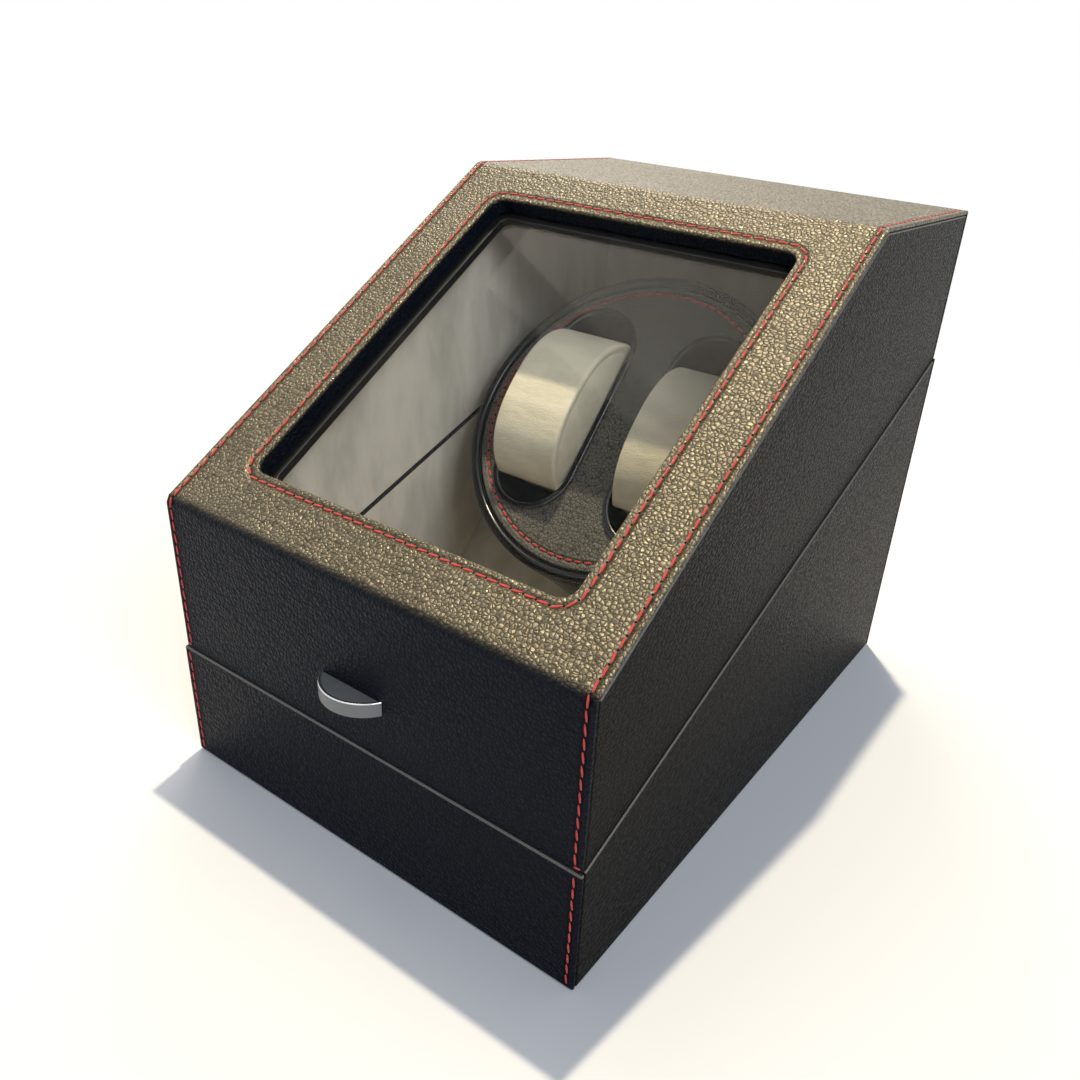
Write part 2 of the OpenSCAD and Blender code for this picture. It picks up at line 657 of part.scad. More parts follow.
module switch_housing() color("#18181a") at_plate(-1) difference() {
    union() {
        block([-housing_half_w, housing_half_w], [half_d - housing_depth, plate_face],
            [-housing_half_h, housing_half_h]);
        block([-housing_half_w - bezel, housing_half_w + bezel], [plate_face, plate_face + bezel_t],
            [-housing_half_h - bezel, housing_half_h + bezel]);
    }
    block([-rocker_w / 2 - face_gap, rocker_w / 2 + face_gap],
        [half_d - housing_depth + 4, plate_face + bezel_t + 1], [-rocker_half_h - 1, rocker_half_h + 1]);
    translate([-housing_half_w + 0.5, rocker_y, 0]) rotate([0, 90, 0])
        cylinder(r = rocker_pin_r + running_fit, h = 2 * housing_half_w - 1);
}
module power_rocker() color("#0f0f11") at_plate(-1) translate([0, rocker_y, 0]) {
    rotate([rocker_tilt, 0, 0]) along_x(rocker_w) polygon([
        [-rocker_root, -rocker_root_half], [1, -rocker_half_h], [rocker_tip, -rocker_half_h + 0.2], [rocker_waist, 0],
        [rocker_tip, rocker_half_h - 0.2], [1, rocker_half_h], [-rocker_root, rocker_root_half]
    ]);
    translate([-rocker_w / 2 - face_gap - 0.8, 0, 0]) rotate([0, 90, 0])
        cylinder(r = rocker_pin_r, h = rocker_w + 2 * face_gap + 1.6);
}

// ---------------------------------------------------------------- hinges and magnets
module base_magnets() color("#c8c9cb") magnets([-magnet_l, 0]);
module lid_magnets() color("#c8c9cb") magnets([lid_face, lid_face + magnet_l]);
module leaves(up) difference() {
    at_hinges() hinge_leaf(up);
    hinge_screw_places(up) countersunk_screw(hinge_screw_l, running_fit);
}
module hinge_leaves_base() color("#b9bcc0") leaves(-1);
module hinge_leaves_lid() color("#b9bcc0") leaves(1);
module hinge_pins() color("#8e9094") at_hinges() barrel(-hinge_w / 2, hinge_w / 2, pin_r);
module hinge_screws_base() color("#8e9094") hinge_screw_places(-1) countersunk_screw(hinge_screw_l - running_fit);
module hinge_screws_lid() color("#8e9094") hinge_screw_places(1) countersunk_screw(hinge_screw_l - running_fit);

// ---------------------------------------------------------------- lid
// Layer of the front wall between two distances inward
function front_layer(out, in) = [
    [out - half_d, lid_z(out - half_d)], [out - half_d, slope_z(out - half_d, out)],
    [in - half_d, slope_z(in - half_d, in)], [in - half_d, lid_z(in - half_d)]
];
// Layer under the slope between two distances inward
function slope_layer(out, in) = [
    [out - half_d, slope_z(out - half_d, out)], [slope_y(box_h - out, out), box_h - out],
    [slope_y(box_h - in, in), box_h - in], [in - half_d, slope_z(in - half_d, in)]
];
tab_cy = tab_r - tab_out - half_d;
tab_z = [tab_top - tab_t, tab_top];
stud_y = [-half_d - 0.5, board_in - half_d - 1];
module stud_places() for (x = [-stud_gap / 2, stud_gap / 2])
    translate([tab_x + x, 0, tab_top - tab_t / 2]) children();

module lid_front_board() color("#3a332c") difference() {
    along_x(inner_w) polygon(front_layer(leather_t, board_in));
    magnets([lid_face - 1, lid_face + magnet_l]);
    stud_places() along_y(stud_r + running_fit, stud_y);
}
module lid_slope_board() color("#3a332c") difference() {
    along_x(inner_w) polygon(slope_layer(leather_t, board_in));
    window_block(reveal_t, [-2 * board_in, 1]);
    window_block(glass_lap, [-2 * board_in, glass_t - board_in]);
}
module lid_top_board() color("#3a332c") along_x(inner_w) polygon([
    [slope_y(box_h - leather_t, leather_t), box_h - leather_t], [half_d - leather_t, box_h - leather_t],
    [half_d - leather_t, box_h - board_in], [slope_y(box_h - board_in, board_in), box_h - board_in]
]);
module lid_back_board() color("#3a332c") difference() {
    along_x(inner_w) polygon([
        [half_d - board_in, lid_z(half_d - board_in)], [half_d - leather_t, lid_z(half_d - leather_t)],
        [half_d - leather_t, box_h - board_in], [half_d - board_in, box_h - board_in]
    ]);
    hinge_screw_places(1) countersunk_screw(hinge_screw_l, running_fit);
}
module lid_side_boards() color("#3a332c") both_sides(inner_w / 2, half_w - leather_t)
    polygon(lid_outline(leather_t));
module lid_wrap() color("#1d1b19") difference() {
    union() {
        along_x(box_w) polygon(concat(
            [lid_outline(0)[0], lid_outline(0)[4], lid_outline(0)[3], lid_outline(0)[2]],
            [[half_d, box_h - leather_t], lid_outline(leather_t)[3], lid_outline(leather_t)[4],
             lid_outline(leather_t)[0]]));
        window_block(reveal_t, [glass_t - board_in, -leather_t / 2]);
    }
    window_block(0, [-2 * board_in, 1]);
    stud_places() along_y(stud_r + running_fit, stud_y);
}
module lid_back_cover() color("#15161a") difference() {
    along_x(box_w) polygon([
        [half_d - leather_t, lid_z(half_d - leather_t)], [half_d, lid_z(half_d)],
        [half_d, box_h - leather_t], [half_d - leather_t, box_h - leather_t]
    ]);
    hinge_screw_places(1) countersunk_screw(hinge_screw_l, running_fit);
}
module lid_side_covers() color("#15161a") both_sides(half_w - leather_t, half_w)
    polygon(lid_outline(leather_t + groove));
module lid_front_lining() color("#77716a") along_x(lined_w) polygon([
    [board_in - half_d, lid_z(board_in - half_d)], [board_in - half_d, slope_z(board_in - half_d, board_in)],
    [wall_in - half_d, slope_z(wall_in - half_d, board_in)], [wall_in - half_d, lid_z(wall_in - half_d)]
]);
module lid_top_lining() color("#77716a") along_x(lined_w) polygon([
    [slope_y(box_h - board_in, board_in), box_h - board_in], [half_d - board_in, box_h - board_in],
    [half_d - board_in, box_h - wall_in], [slope_y(box_h - wall_in, board_in), box_h - wall_in]
]);
module lid_back_lining() color("#77716a") along_x(lined_w) polygon([
    [half_d - wall_in, lid_z(half_d - wall_in)], [half_d - board_in, lid_z(half_d - board_in)],
    [half_d - board_in, box_h - wall_in], [half_d - wall_in, box_h - wall_in]
]);
module lid_side_linings() color("#77716a") both_sides(lined_w / 2, inner_w / 2)
    polygon(lid_outline(board_in));
module window_pane() color([0.8, 0.85, 0.85, 0.3]) window_block(glass_lap - slip_fit, [-board_in, glass_t - board_in]);
module window_frame() color("#121214") difference() {
    along_x(lined_w) polygon([
        [wall_in - half_d, slope_z(wall_in - half_d, board_in)],
        [slope_y(box_h - wall_in, board_in), box_h - wall_in],
        [slope_y(box_h - wall_in, board_in + frame_t), box_h - wall_in],
        [wall_in - half_d, slope_z(wall_in - half_d, board_in + frame_t)]
    ]);
    window_block(-frame_lip, [-3 * board_in, 1]);
}
module lift_tab() color("#c5c8cb") {
    intersection() {
        translate([tab_x, tab_cy, 0]) disc(tab_r, tab_z);
        block([-far, far], [-half_d - tab_out - 1, -half_d], tab_z);
    }
    stud_places() along_y(stud_r, [-half_d, board_in - half_d - 1 - running_fit]);
}

base_floor_board();
base_front_board();
base_back_board();
base_side_boards();
base_front_cover();
base_back_cover();
base_side_covers();
underside_felt();
base_front_lining();
base_side_linings();
base_floor_lining();
turntable_panel();
turntable_panel_lining();
shaft_bush();
bush_nut();
motor_bracket();
drive_screws();
gearbox();
motor_can();
control_board();
board_spacers();
rear_plate();
rear_plate_screws();
dc_jack();
selector_body();
switch_housing();
base_magnets();
hinge_leaves_base();
hinge_pins();
hinge_screws_base();
lid_front_board();
lid_slope_board();
lid_top_board();
lid_back_board();
lid_side_boards();
lid_wrap();
lid_back_cover();
lid_side_covers();
lid_front_lining();
lid_top_lining();
lid_back_lining();
lid_side_linings();
window_pane();
window_frame();
lift_tab();
lid_magnets();
hinge_leaves_lid();
hinge_screws_lid();
drum_shell();
drum_rim();
drum_face();
watch_cups();
turntable_shaft();
driven_gear();
shaft_clip();
motor_pinion();
pillow_left();
pillow_right();
mode_knob();
power_rocker();
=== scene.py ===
"""The visible model of a leather-covered watch winder box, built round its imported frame.

Lengths in the classes are millimetres. A Place turns them into the metres of the frame.
"""

from __future__ import annotations

import logging
import math
import random
from collections.abc import Callable, Sequence
from dataclasses import dataclass
from enum import Enum
from typing import ClassVar

import bmesh
import bpy
from bmesh.types import BMEdge, BMesh, BMVert
from mathutils import Matrix, Vector


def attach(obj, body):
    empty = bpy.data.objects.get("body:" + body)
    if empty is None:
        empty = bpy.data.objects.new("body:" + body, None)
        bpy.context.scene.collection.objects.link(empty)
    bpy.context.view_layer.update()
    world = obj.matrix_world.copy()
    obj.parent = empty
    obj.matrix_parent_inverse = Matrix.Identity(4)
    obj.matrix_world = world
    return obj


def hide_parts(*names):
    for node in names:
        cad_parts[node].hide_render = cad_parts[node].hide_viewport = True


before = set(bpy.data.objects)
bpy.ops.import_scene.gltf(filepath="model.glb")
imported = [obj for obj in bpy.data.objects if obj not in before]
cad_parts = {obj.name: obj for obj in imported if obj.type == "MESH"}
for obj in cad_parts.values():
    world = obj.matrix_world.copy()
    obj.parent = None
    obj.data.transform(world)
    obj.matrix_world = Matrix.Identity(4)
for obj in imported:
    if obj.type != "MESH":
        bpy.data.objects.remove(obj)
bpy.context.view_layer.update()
LOG = logging.getLogger("winder_box")
MM = 0.001
AHEAD = Vector((0, -1, 0))
UP = Vector((0, 0, 1))
SLOPE_TILT = math.atan2(98.0, 148.0)
SPLIT_TILT = math.atan2(96.0, 240.0)
TABLE_TILT = math.radians(48.4)

Triple = tuple[float, float, float]
Colour = Triple
Socket = bpy.types.NodeSocket
Material = bpy.types.Material
Object = bpy.types.Object
Plug = Socket | float | Sequence[float]


class Body(Enum):
    """Bodies that pieces ride on."""

    BASE = "base"
    LID = "lid"
    TURNTABLE = "turntable"
    LEFT_PILLOW = "left_pillow"
    RIGHT_PILLOW = "right_pillow"
    KNOB = "knob"
    ROCKER = "rocker"


class Place(Enum):
    """Origins and tilts, in millimetres and radians, that pieces are drawn in."""

    BOX = ((0.0, 0.0, 0.0), 0.0)
    SLOPE = ((0.0, -120.0, 102.0), SLOPE_TILT)
    TABLE = ((0.0, 15.5, 116.0), TABLE_TILT)

    @property
    def matrix(self) -> Matrix:
        """Matrix from millimetres drawn here to metres in the frame."""
        origin, tilt = self.value
        turn = Matrix.Rotation(tilt, 4, "X")
        return Matrix.Translation(Vector(origin) * MM) @ turn @ Matrix.Scale(MM, 4)


class Seams(Enum):
    """Which stitched seams a leather piece shows as grooves."""

    NONE = "none"
    LID = "lid"
    BASE = "base"
    TABLE = "table"


# --- node graphs
class Nodes:
    """A node tree, built a node at a time."""

    def __init__(self, owner: Material | bpy.types.World) -> None:
        """Starts with an empty tree.

        Args:
            owner: The material or world that the nodes belong to.
        """
        owner.use_nodes = True
        self.tree = owner.node_tree
        self.tree.nodes.clear()

    def plug(self, into: Socket, value: Plug) -> None:
        """Links a socket, or sets its value.

        Args:
            into: The input to feed.
            value: An output socket, a number or a few numbers.
        """
        if isinstance(value, Socket):
            self.tree.links.new(value, into)
        else:
            into.default_value = value

    def node(self, kind: str, inputs: dict[str | int, Plug], **settings: str | bool) -> bpy.types.Node:
        """Adds a node.

        Args:
            kind: The node's type name, without ShaderNode.
            inputs: What feeds its inputs, by name or index.
            **settings: Properties of the node.

        Returns:
            The new node.
        """
        made = self.tree.nodes.new(f"ShaderNode{kind}")
        for name, value in settings.items():
            setattr(made, name, value)
        for name, value in inputs.items():
            self.plug(made.inputs[name], value)
        return made

    def at(self) -> Socket:
        """Object coordinates in millimetres."""
        return self.vector("SCALE", self.node("TexCoord", {}).outputs["Object"], scale=1.0 / MM)

    def in_place(self, at: Socket, place: Place) -> Socket:
        """Coordinates as a tilted place sees them.

        Args:
            at: Coordinates in the frame, in millimetres.
            place: The place to read them in.

        Returns:
            The turned coordinates.
        """
        origin, tilt = place.value
        made = self.node("Mapping", {"Vector": at, "Location": origin, "Rotation": (tilt, 0, 0)},
                         vector_type="TEXTURE")
        return made.outputs[0]

    def stretched(self, at: Socket, scale: Sequence[float], turn: float = 0.0) -> Socket:
        """Coordinates scaled along each axis after a turn about X."""
        made = self.node("Mapping", {"Vector": at, "Scale": scale, "Rotation": (turn, 0, 0)})
        return made.outputs[0]

    def maths(self, operation: str, first: Plug, second: Plug = 0.0, clamp: bool = False) -> Socket:
        """One sum on numbers."""
        return self.node("Math", {0: first, 1: second}, operation=operation, use_clamp=clamp).outputs[0]

    def total(self, *terms: tuple[Plug, float]) -> Socket:
        """Sum of numbers, each times its weight."""
        first, *rest = [self.maths("MULTIPLY", value, weight) for value, weight in terms]
        for term in rest:
            first = self.maths("ADD", first, term)
        return first

    def apart(self, first: Plug, second: Plug) -> Socket:
        """How far two numbers are apart."""
        return self.maths("ABSOLUTE", self.maths("SUBTRACT", first, second))

    def span(self, x: Socket, y: Socket) -> Socket:
        """Length of a flat vector."""
        return self.maths("SQRT", self.maths("ADD", self.maths("MULTIPLY", x, x), self.maths("MULTIPLY", y, y)))

    def vector(self, operation: str, first: Plug, second: Plug = (0, 0, 0), scale: float = 1.0) -> Socket:
        """One sum on vectors; its number where it has one."""
        inputs = {0: first, "Scale": scale} if operation == "SCALE" else {0: first}
        if operation in ("ADD", "SUBTRACT", "MULTIPLY"):
            inputs[1] = second
        made = self.node("VectorMath", inputs, operation=operation)
        return made.outputs["Value" if operation == "LENGTH" else "Vector"]

    def parts(self, vector: Socket) -> tuple[Socket, Socket, Socket]:
        """The three numbers of a vector."""
        made = self.node("SeparateXYZ", {0: vector})
        return made.outputs[0], made.outputs[1], made.outputs[2]

    def noise(self, at: Socket, scale: float, detail: float = 2.0, rough: float = 0.5) -> Socket:
        """Soft noise from 0 to 1, with scale in features per millimetre."""
        made = self.node("TexNoise", {"Vector": at, "Scale": scale, "Detail": detail, "Roughness": rough})
        return made.outputs[0]

    def warped(self, at: Socket, scale: float, by: float) -> Socket:
        """Coordinates pushed about by noise, by up to half of by millimetres."""
        push = self.node("TexNoise", {"Vector": at, "Scale": scale, "Detail": 2.0}).outputs["Color"]
        push = self.vector("SUBTRACT", push, (0.5, 0.5, 0.5))
        return self.vector("ADD", at, self.vector("SCALE", push, scale=by))

    def cells(self, at: Socket, size: float, feature: str = "DISTANCE_TO_EDGE", spread: float = 1.0) -> Socket:
        """Distance in a cell pattern whose cells are size millimetres across."""
        made = self.node("TexVoronoi", {"Vector": at, "Scale": 1.0 / size, "Randomness": spread},
                         feature=feature)
        return made.outputs["Distance"]

    def ease(self, value: Plug, low: float, high: float, out_low: float = 0.0, out_high: float = 1.0) -> Socket:
        """Smooth step of a number from one range to another."""
        made = self.node("MapRange", {"Value": value, "From Min": low, "From Max": high,
                                                "To Min": out_low, "To Max": out_high},
                         interpolation_type="SMOOTHSTEP")
        return made.outputs[0]

    def mixed(self, share: Plug, first: Plug, second: Plug) -> Socket:
        """Mix of two colours."""
        made = self.node("Mix", {}, data_type="RGBA")
        colours = [s for s in made.inputs if s.type == "RGBA"]
        self.plug(made.inputs[0], share)
        for socket, value in zip(colours, (first, second)):
            self.plug(socket, value if isinstance(value, Socket) else (*value, 1.0))
        return next(s for s in made.outputs if s.type == "RGBA")

    def bumped(self, height: Socket, depth: float, over: Socket | None = None) -> Socket:
        """A normal from a height.

        Args:
            height: Height from 0 to 1.
            depth: What a height of 1 stands for, in millimetres.
            over: A normal that this one is laid over.

        Returns:
            The new normal.
        """
        inputs: dict[str | int, Plug] = {"Height": height, "Distance": depth * MM, "Strength": 1.0}
        if over is not None:
            inputs["Normal"] = over
        return self.node("Bump", inputs).outputs[0]


class Graph(Nodes):
    """A material's nodes round one Principled shader."""

    def __init__(self, name: str) -> None:
        """Starts the material with its shader.

        Args:
            name: The material's name.
        """
        self.material = bpy.data.materials.new(name)
        super().__init__(self.material)
        self.output = self.node("OutputMaterial", {})
        self.shader = self.node("BsdfPrincipled", {})
        self.tree.links.new(self.shader.outputs[0], self.output.inputs["Surface"])

    def surface(self, **inputs: Plug) -> Material:
        """Feeds the Principled shader.

        Args:
            **inputs: Its inputs, with underscores for spaces in their names.

        Returns:
            The material.
        """
        names = {s.name.replace(" ", "_"): s.name for s in self.shader.inputs}
        for name, value in inputs.items():
            if name == "Base_Color" and not isinstance(value, Socket):
                value = (*value, 1.0)
            self.plug(self.shader.inputs[names[name]], value)
        return self.material

    def seen_through(self, share: Socket, tint: Colour = (1.0, 1.0, 1.0)) -> Material:
        """Lets rays pass the surface by a share, tinted."""
        clear = self.node("BsdfTransparent", {"Color": (*tint, 1.0)})
        mix = self.node("MixShader", {0: share, 1: self.shader.outputs[0], 2: clear.outputs[0]})
        self.tree.links.new(mix.outputs[0], self.output.inputs["Surface"])
        return self.material


@dataclass(frozen=True)
class Finish:
    """A named finish that makes its material once."""

    made: ClassVar[dict[str, Material]] = {}
    shared_slots: ClassVar[dict[str, str]] = {
        "side_leather": "box_leather", "base_leather": "box_leather", "control_black": "control_plastic",
        "satin_metal": "polished_metal"}
    name: str

    @property
    def slot(self) -> str:
        """The record's material slot that the finish fills."""
        return self.shared_slots.get(self.name, self.name)

    @property
    def material(self) -> Material:
        """The finish's material."""
        if self.name not in Finish.made:
            Finish.made[self.name] = self.build(Graph(self.name))
        return Finish.made[self.name]


@dataclass(frozen=True)
class Leather(Finish):
    """Pebbled leather, with the grooves that its seams pull into it."""

    low: Colour = (0.004, 0.004, 0.005)
    high: Colour = (0.020, 0.019, 0.019)
    grain: float = 1.5
    depth: float = 0.16
    rough: float = 0.55
    gloss: float = 0.5
    # painted sheen: a lighter warm colour, made part metallic by metal, that paints the lamp's sheen on the
    # lid's slope and top
    painted_sheen: Colour = (0.1, 0.1, 0.1)
    metal: float = 0.0
    stretch: Triple = (1.0, 1.0, 1.0)
    turn: float = 0.0
    seams: Seams = Seams.NONE

    def shine(self, graph: Graph, at: Socket) -> Socket | None:
        """Share of the painted sheen, a lighter warm part-metallic colour: full on slope and top, none on the
        front and in the window's reveal.
        """
        if not self.metal:
            return None
        _, y, _ = graph.parts(at)
        _, _, deep = graph.parts(graph.in_place(at, Place.SLOPE))
        front = graph.ease(y, 0.1 - Box.half_d, 3.2 - Box.half_d)
        above = graph.ease(y, Box.slope_back - 1.0, Box.slope_back)
        return graph.maths("MULTIPLY", front, graph.maths("MAXIMUM", above, graph.ease(deep, -1.6, -0.3)))

    def seam_distance(self, graph: Graph, at: Socket) -> Socket | None:
        """Distance from the nearest seam in millimetres, or None where there is none."""
        if self.seams is Seams.NONE:
            return None
        if self.seams is Seams.TABLE:
            x, y, _ = graph.parts(graph.in_place(at, Place.TABLE))
            return graph.apart(graph.span(x, y), Turntable.seam_r)
        across, _, _ = graph.parts(at)
        edge = graph.maths("ABSOLUTE", across)
        if self.seams is Seams.BASE:
            return graph.apart(edge, Box.base_seam_x)
        edge = graph.apart(edge, Box.lid_seam_x)
        x, y, z = graph.parts(graph.in_place(at, Place.SLOPE))
        beyond_x = graph.maths("SUBTRACT", graph.maths("ABSOLUTE", x), Box.seam_half_w - Box.seam_r)
        beyond_y = graph.maths("SUBTRACT", graph.apart(y, Box.window_mid), Box.seam_half_l - Box.seam_r)
        corner = graph.span(graph.maths("MAXIMUM", beyond_x, 0.0), graph.maths("MAXIMUM", beyond_y, 0.0))
        inside = graph.maths("MINIMUM", graph.maths("MAXIMUM", beyond_x, beyond_y), 0.0)
        window = graph.apart(graph.maths("ADD", corner, inside), Box.seam_r)
        window = graph.maths("ADD", window, graph.ease(graph.maths("ABSOLUTE", z), 1.0, 2.0, 0.0, 50.0))
        return graph.maths("MINIMUM", edge, window)

    def build(self, graph: Graph) -> Material:
        """Builds the leather's nodes."""
        at = graph.at()
        laid = graph.stretched(at, self.stretch, self.turn)
        moved = graph.warped(laid, 0.5 / self.grain, self.grain * 0.45)
        reach = graph.cells(moved, self.grain, spread=0.85)
        dome = graph.ease(graph.cells(moved, self.grain, "F1", 0.85), 0.0, 0.75, 1.0, 0.0)
        pebble = graph.total((dome, 0.6), (graph.ease(reach, -0.02, 0.2), 0.4))
        small = graph.ease(graph.cells(moved, self.grain * 0.5), 0.0, 0.3)
        wavy = graph.stretched(graph.warped(laid, 0.2, 2.0), (0.4, 1.0, 1.0))
        crease = graph.ease(graph.noise(wavy, 0.75 / self.grain, 3.0, 0.6), 0.35, 0.65)
        fine = graph.noise(laid, 7.0, 2.0)
        broad = graph.noise(at, 0.07, 2.0)
        height = graph.total((pebble, 0.9), (small, 0.12), (crease, 0.55), (fine, 0.06))
        height = graph.maths("MULTIPLY", height, graph.ease(broad, 0.25, 0.75, 0.7, 1.0))
        seam = self.seam_distance(graph, at)
        if seam is not None:
            height = graph.maths("MULTIPLY", height, graph.ease(seam, 0.3, 1.6, 0.35, 1.0))
            height = graph.total((height, 1.0), (graph.ease(seam, 0.2, 1.5), 1.6))
        normal = graph.bumped(height, self.depth)
        tone = graph.maths("MULTIPLY", graph.ease(reach, 0.0, 0.16), graph.ease(broad, 0.2, 0.8, 0.7, 1.0))
        share = self.shine(graph, at)
        low: Plug = self.low
        high: Plug = self.high
        # where the share is, the base colour is the painted sheen, weaker in the grain's valleys
        if share is not None:
            low = graph.mixed(share, self.low, tuple(c * 0.3 for c in self.painted_sheen))
            high = graph.mixed(share, self.high, self.painted_sheen)
        return graph.surface(
            Base_Color=graph.mixed(tone, low, high),
            Metallic=0.0 if share is None else graph.maths("MULTIPLY", share, self.metal),
            Roughness=graph.ease(pebble, 0.0, 1.0, min(self.rough + 0.2, 1.0), self.rough),
            Specular_IOR_Level=self.gloss, Normal=normal)


@dataclass(frozen=True)
class Nap(Finish):
    """Velvet or suede, with a brushed nap."""

    dark: Colour
    pale: Colour
    streak: Triple = (1.0, 1.0, 0.35)
    patch: float = 0.06
    fibre: float = 3.0
    depth: float = 0.12
    sheen: float = 0.4
    rough: float = 0.95

    def build(self, graph: Graph) -> Material:
        """Builds the nap's nodes."""
        at = graph.at()
        laid = graph.stretched(graph.warped(at, 0.05, 6.0), self.streak)
        patches = graph.ease(graph.noise(laid, self.patch, 4.0, 0.6), 0.3, 0.7)
        hairs = graph.noise(laid, self.fibre, 3.0, 0.7)
        tone = graph.total((patches, 0.65), (hairs, 0.35))
        height = graph.total((hairs, 1.0), (graph.noise(laid, self.fibre * 0.2, 2.0), 0.8))
        return graph.surface(
            Base_Color=graph.mixed(tone, self.dark, self.pale), Roughness=self.rough, Specular_IOR_Level=0.1,
            Sheen_Weight=self.sheen, Sheen_Roughness=0.5, Sheen_Tint=(*self.pale, 1.0),
            Normal=graph.bumped(height, self.depth))


@dataclass(frozen=True)
class Plain(Finish):
    """Moulded plastic, lacquer or cast metal, with fine handling marks."""

    colour: Colour
    rough: float = 0.4
    gloss: float = 0.5
    metal: float = 0.0
    marks: float = 0.15
    texture: float = 1.2
    depth: float = 0.01

    def build(self, graph: Graph) -> Material:
        """Builds the nodes."""
        at = graph.at()
        cloud = graph.noise(at, 0.12, 4.0, 0.6)
        grit = graph.noise(at, self.texture, 3.0, 0.6)
        shade = graph.total((cloud, 0.5), (grit, 0.5))
        # a lighter copy of the colour, laid on by noise as handling wear
        wear_and_painted_highlight = tuple(min(1.0, c * 1.25 + 0.004) for c in self.colour)
        return graph.surface(
            Base_Color=graph.mixed(shade, tuple(c * 0.88 for c in self.colour), wear_and_painted_highlight),
            Roughness=graph.ease(shade, 0.25, 0.75, max(self.rough - self.marks / 2, 0.02),
                                 self.rough + self.marks / 2),
            Metallic=self.metal, Specular_IOR_Level=self.gloss, Normal=graph.bumped(grit, self.depth))


@dataclass(frozen=True)
class Brushed(Finish):
    """Metal with fine scratches that run one way."""

    colour: Colour
    rough: float = 0.28
    run: Triple = (0.05, 1.0, 1.0)
    depth: float = 0.004

    def build(self, graph: Graph) -> Material:
        """Builds the nodes."""
        at = graph.at()
        lines = graph.noise(graph.stretched(at, self.run), 9.0, 3.0, 0.7)
        cloud = graph.noise(at, 0.2, 3.0)
        return graph.surface(
            Base_Color=graph.mixed(cloud, tuple(c * 0.9 for c in self.colour), self.colour),
            Roughness=graph.ease(lines, 0.3, 0.7, self.rough - 0.06, self.rough + 0.1), Metallic=1.0,
            Normal=graph.bumped(lines, self.depth))


@dataclass(frozen=True)
class Thread(Finish):
    """Two-ply sewing thread, wound along each stitch's own UV."""

    # dark is a shaded copy of the red and pale a lit copy; banded along the twist they paint shade and
    # highlight on the plies
    dark: Colour = (0.30, 0.012, 0.016)
    pale: Colour = (0.80, 0.075, 0.065)

    def build(self, graph: Graph) -> Material:
        """Builds the nodes."""
        at = graph.at()
        along = graph.node("UVMap", {}, uv_map="stitch").outputs[0]
        turns = graph.node("TexWave", {"Vector": along, "Scale": 1.0, "Distortion": 0.3},
                           bands_direction="DIAGONAL").outputs["Fac"]
        fuzz = graph.noise(at, 4.0, 2.0)
        # the twist bands paint shade and highlight; fuzz varies the tone at random
        tone = graph.total((turns, 0.5), (fuzz, 0.5))
        return graph.surface(Base_Color=graph.mixed(tone, self.dark, self.pale), Roughness=0.7,
                             Specular_IOR_Level=0.35, Sheen_Weight=0.2, Normal=graph.bumped(turns, 0.12))


@dataclass(frozen=True)
class Glass(Finish):
    """Clear glass that lets the lamps shine through."""

    def build(self, graph: Graph) -> Material:
        """Builds the nodes."""
        graph.surface(Base_Color=(0.98, 0.99, 0.985), Roughness=0.0, IOR=1.12, Transmission_Weight=1.0)
        path = graph.node("LightPath", {}).outputs
        lamps = graph.maths("MAXIMUM", path["Is Shadow Ray"], path["Is Diffuse Ray"])
        inner = graph.maths("SUBTRACT", path["Is Glossy Ray"], path["Is Transmission Ray"], clamp=True)
        return graph.seen_through(graph.maths("MAXIMUM", lamps, inner), (0.97, 0.98, 0.975))


@dataclass(frozen=True)
class Circuit(Finish):
    """Green circuit board with tracks, and dark parts in front of it."""

    face: float = 105.9

    def build(self, graph: Graph) -> Material:
        """Builds the nodes."""
        at = graph.at()
        _, y, _ = graph.parts(at)
        tracks = graph.ease(graph.cells(graph.stretched(at, (1, 1, 2.4)), 3.2, spread=0.2), 0.03, 0.06)
        board = graph.mixed(tracks, (0.035, 0.16, 0.06), (0.008, 0.07, 0.024))
        parts = graph.ease(y, self.face - 0.3, self.face - 0.1)
        return graph.surface(Base_Color=graph.mixed(parts, (0.012, 0.012, 0.013), board), Roughness=0.45,
                             Normal=graph.bumped(tracks, 0.04))


# black lid leather; its painted sheen and metal paint a warm sheen on slope and top
LID_LEATHER = Leather("lid_leather", low=(0.001, 0.002, 0.004), high=(0.003, 0.006, 0.014), grain=1.45,
                      depth=0.38,
                      rough=0.30, gloss=0.08, painted_sheen=(0.188, 0.162, 0.112), metal=0.8, seams=Seams.LID)
# rounded edges: the pale colour is a painted highlight along the edge; the gloss is the leather's own
EDGE_HIGHLIGHT_LEATHER = Leather("edge_leather", low=(0.015, 0.015, 0.015), high=(0.05, 0.049, 0.047), grain=0.8,
                       depth=0.05, rough=0.32, gloss=0.9)
SIDE_LEATHER = Leather("side_leather", low=(0.002, 0.002, 0.002), high=(0.010, 0.008, 0.006), grain=1.3,
                       depth=0.32,
                       rough=0.3, gloss=0.06, stretch=(1.0, 0.7, 1.2), turn=0.6)
BASE_LEATHER = Leather("base_leather", low=(0.001, 0.002, 0.004), high=(0.003, 0.005, 0.012), grain=1.45,
                       depth=0.38,
                       rough=0.3, gloss=0.07, seams=Seams.BASE)
FACE_LEATHER = Leather("face_leather", low=(0.04, 0.038, 0.033), high=(0.16, 0.15, 0.13), grain=1.3,
                       depth=0.2, rough=0.45, gloss=0.3, stretch=(1.0, 0.6, 1.0), seams=Seams.TABLE)
BOARD_WRAP = Leather("board_wrap", grain=0.9, depth=0.05, rough=0.7, gloss=0.25)
VELVET = Nap("velvet", (0.44, 0.41, 0.36), (0.74, 0.69, 0.61))
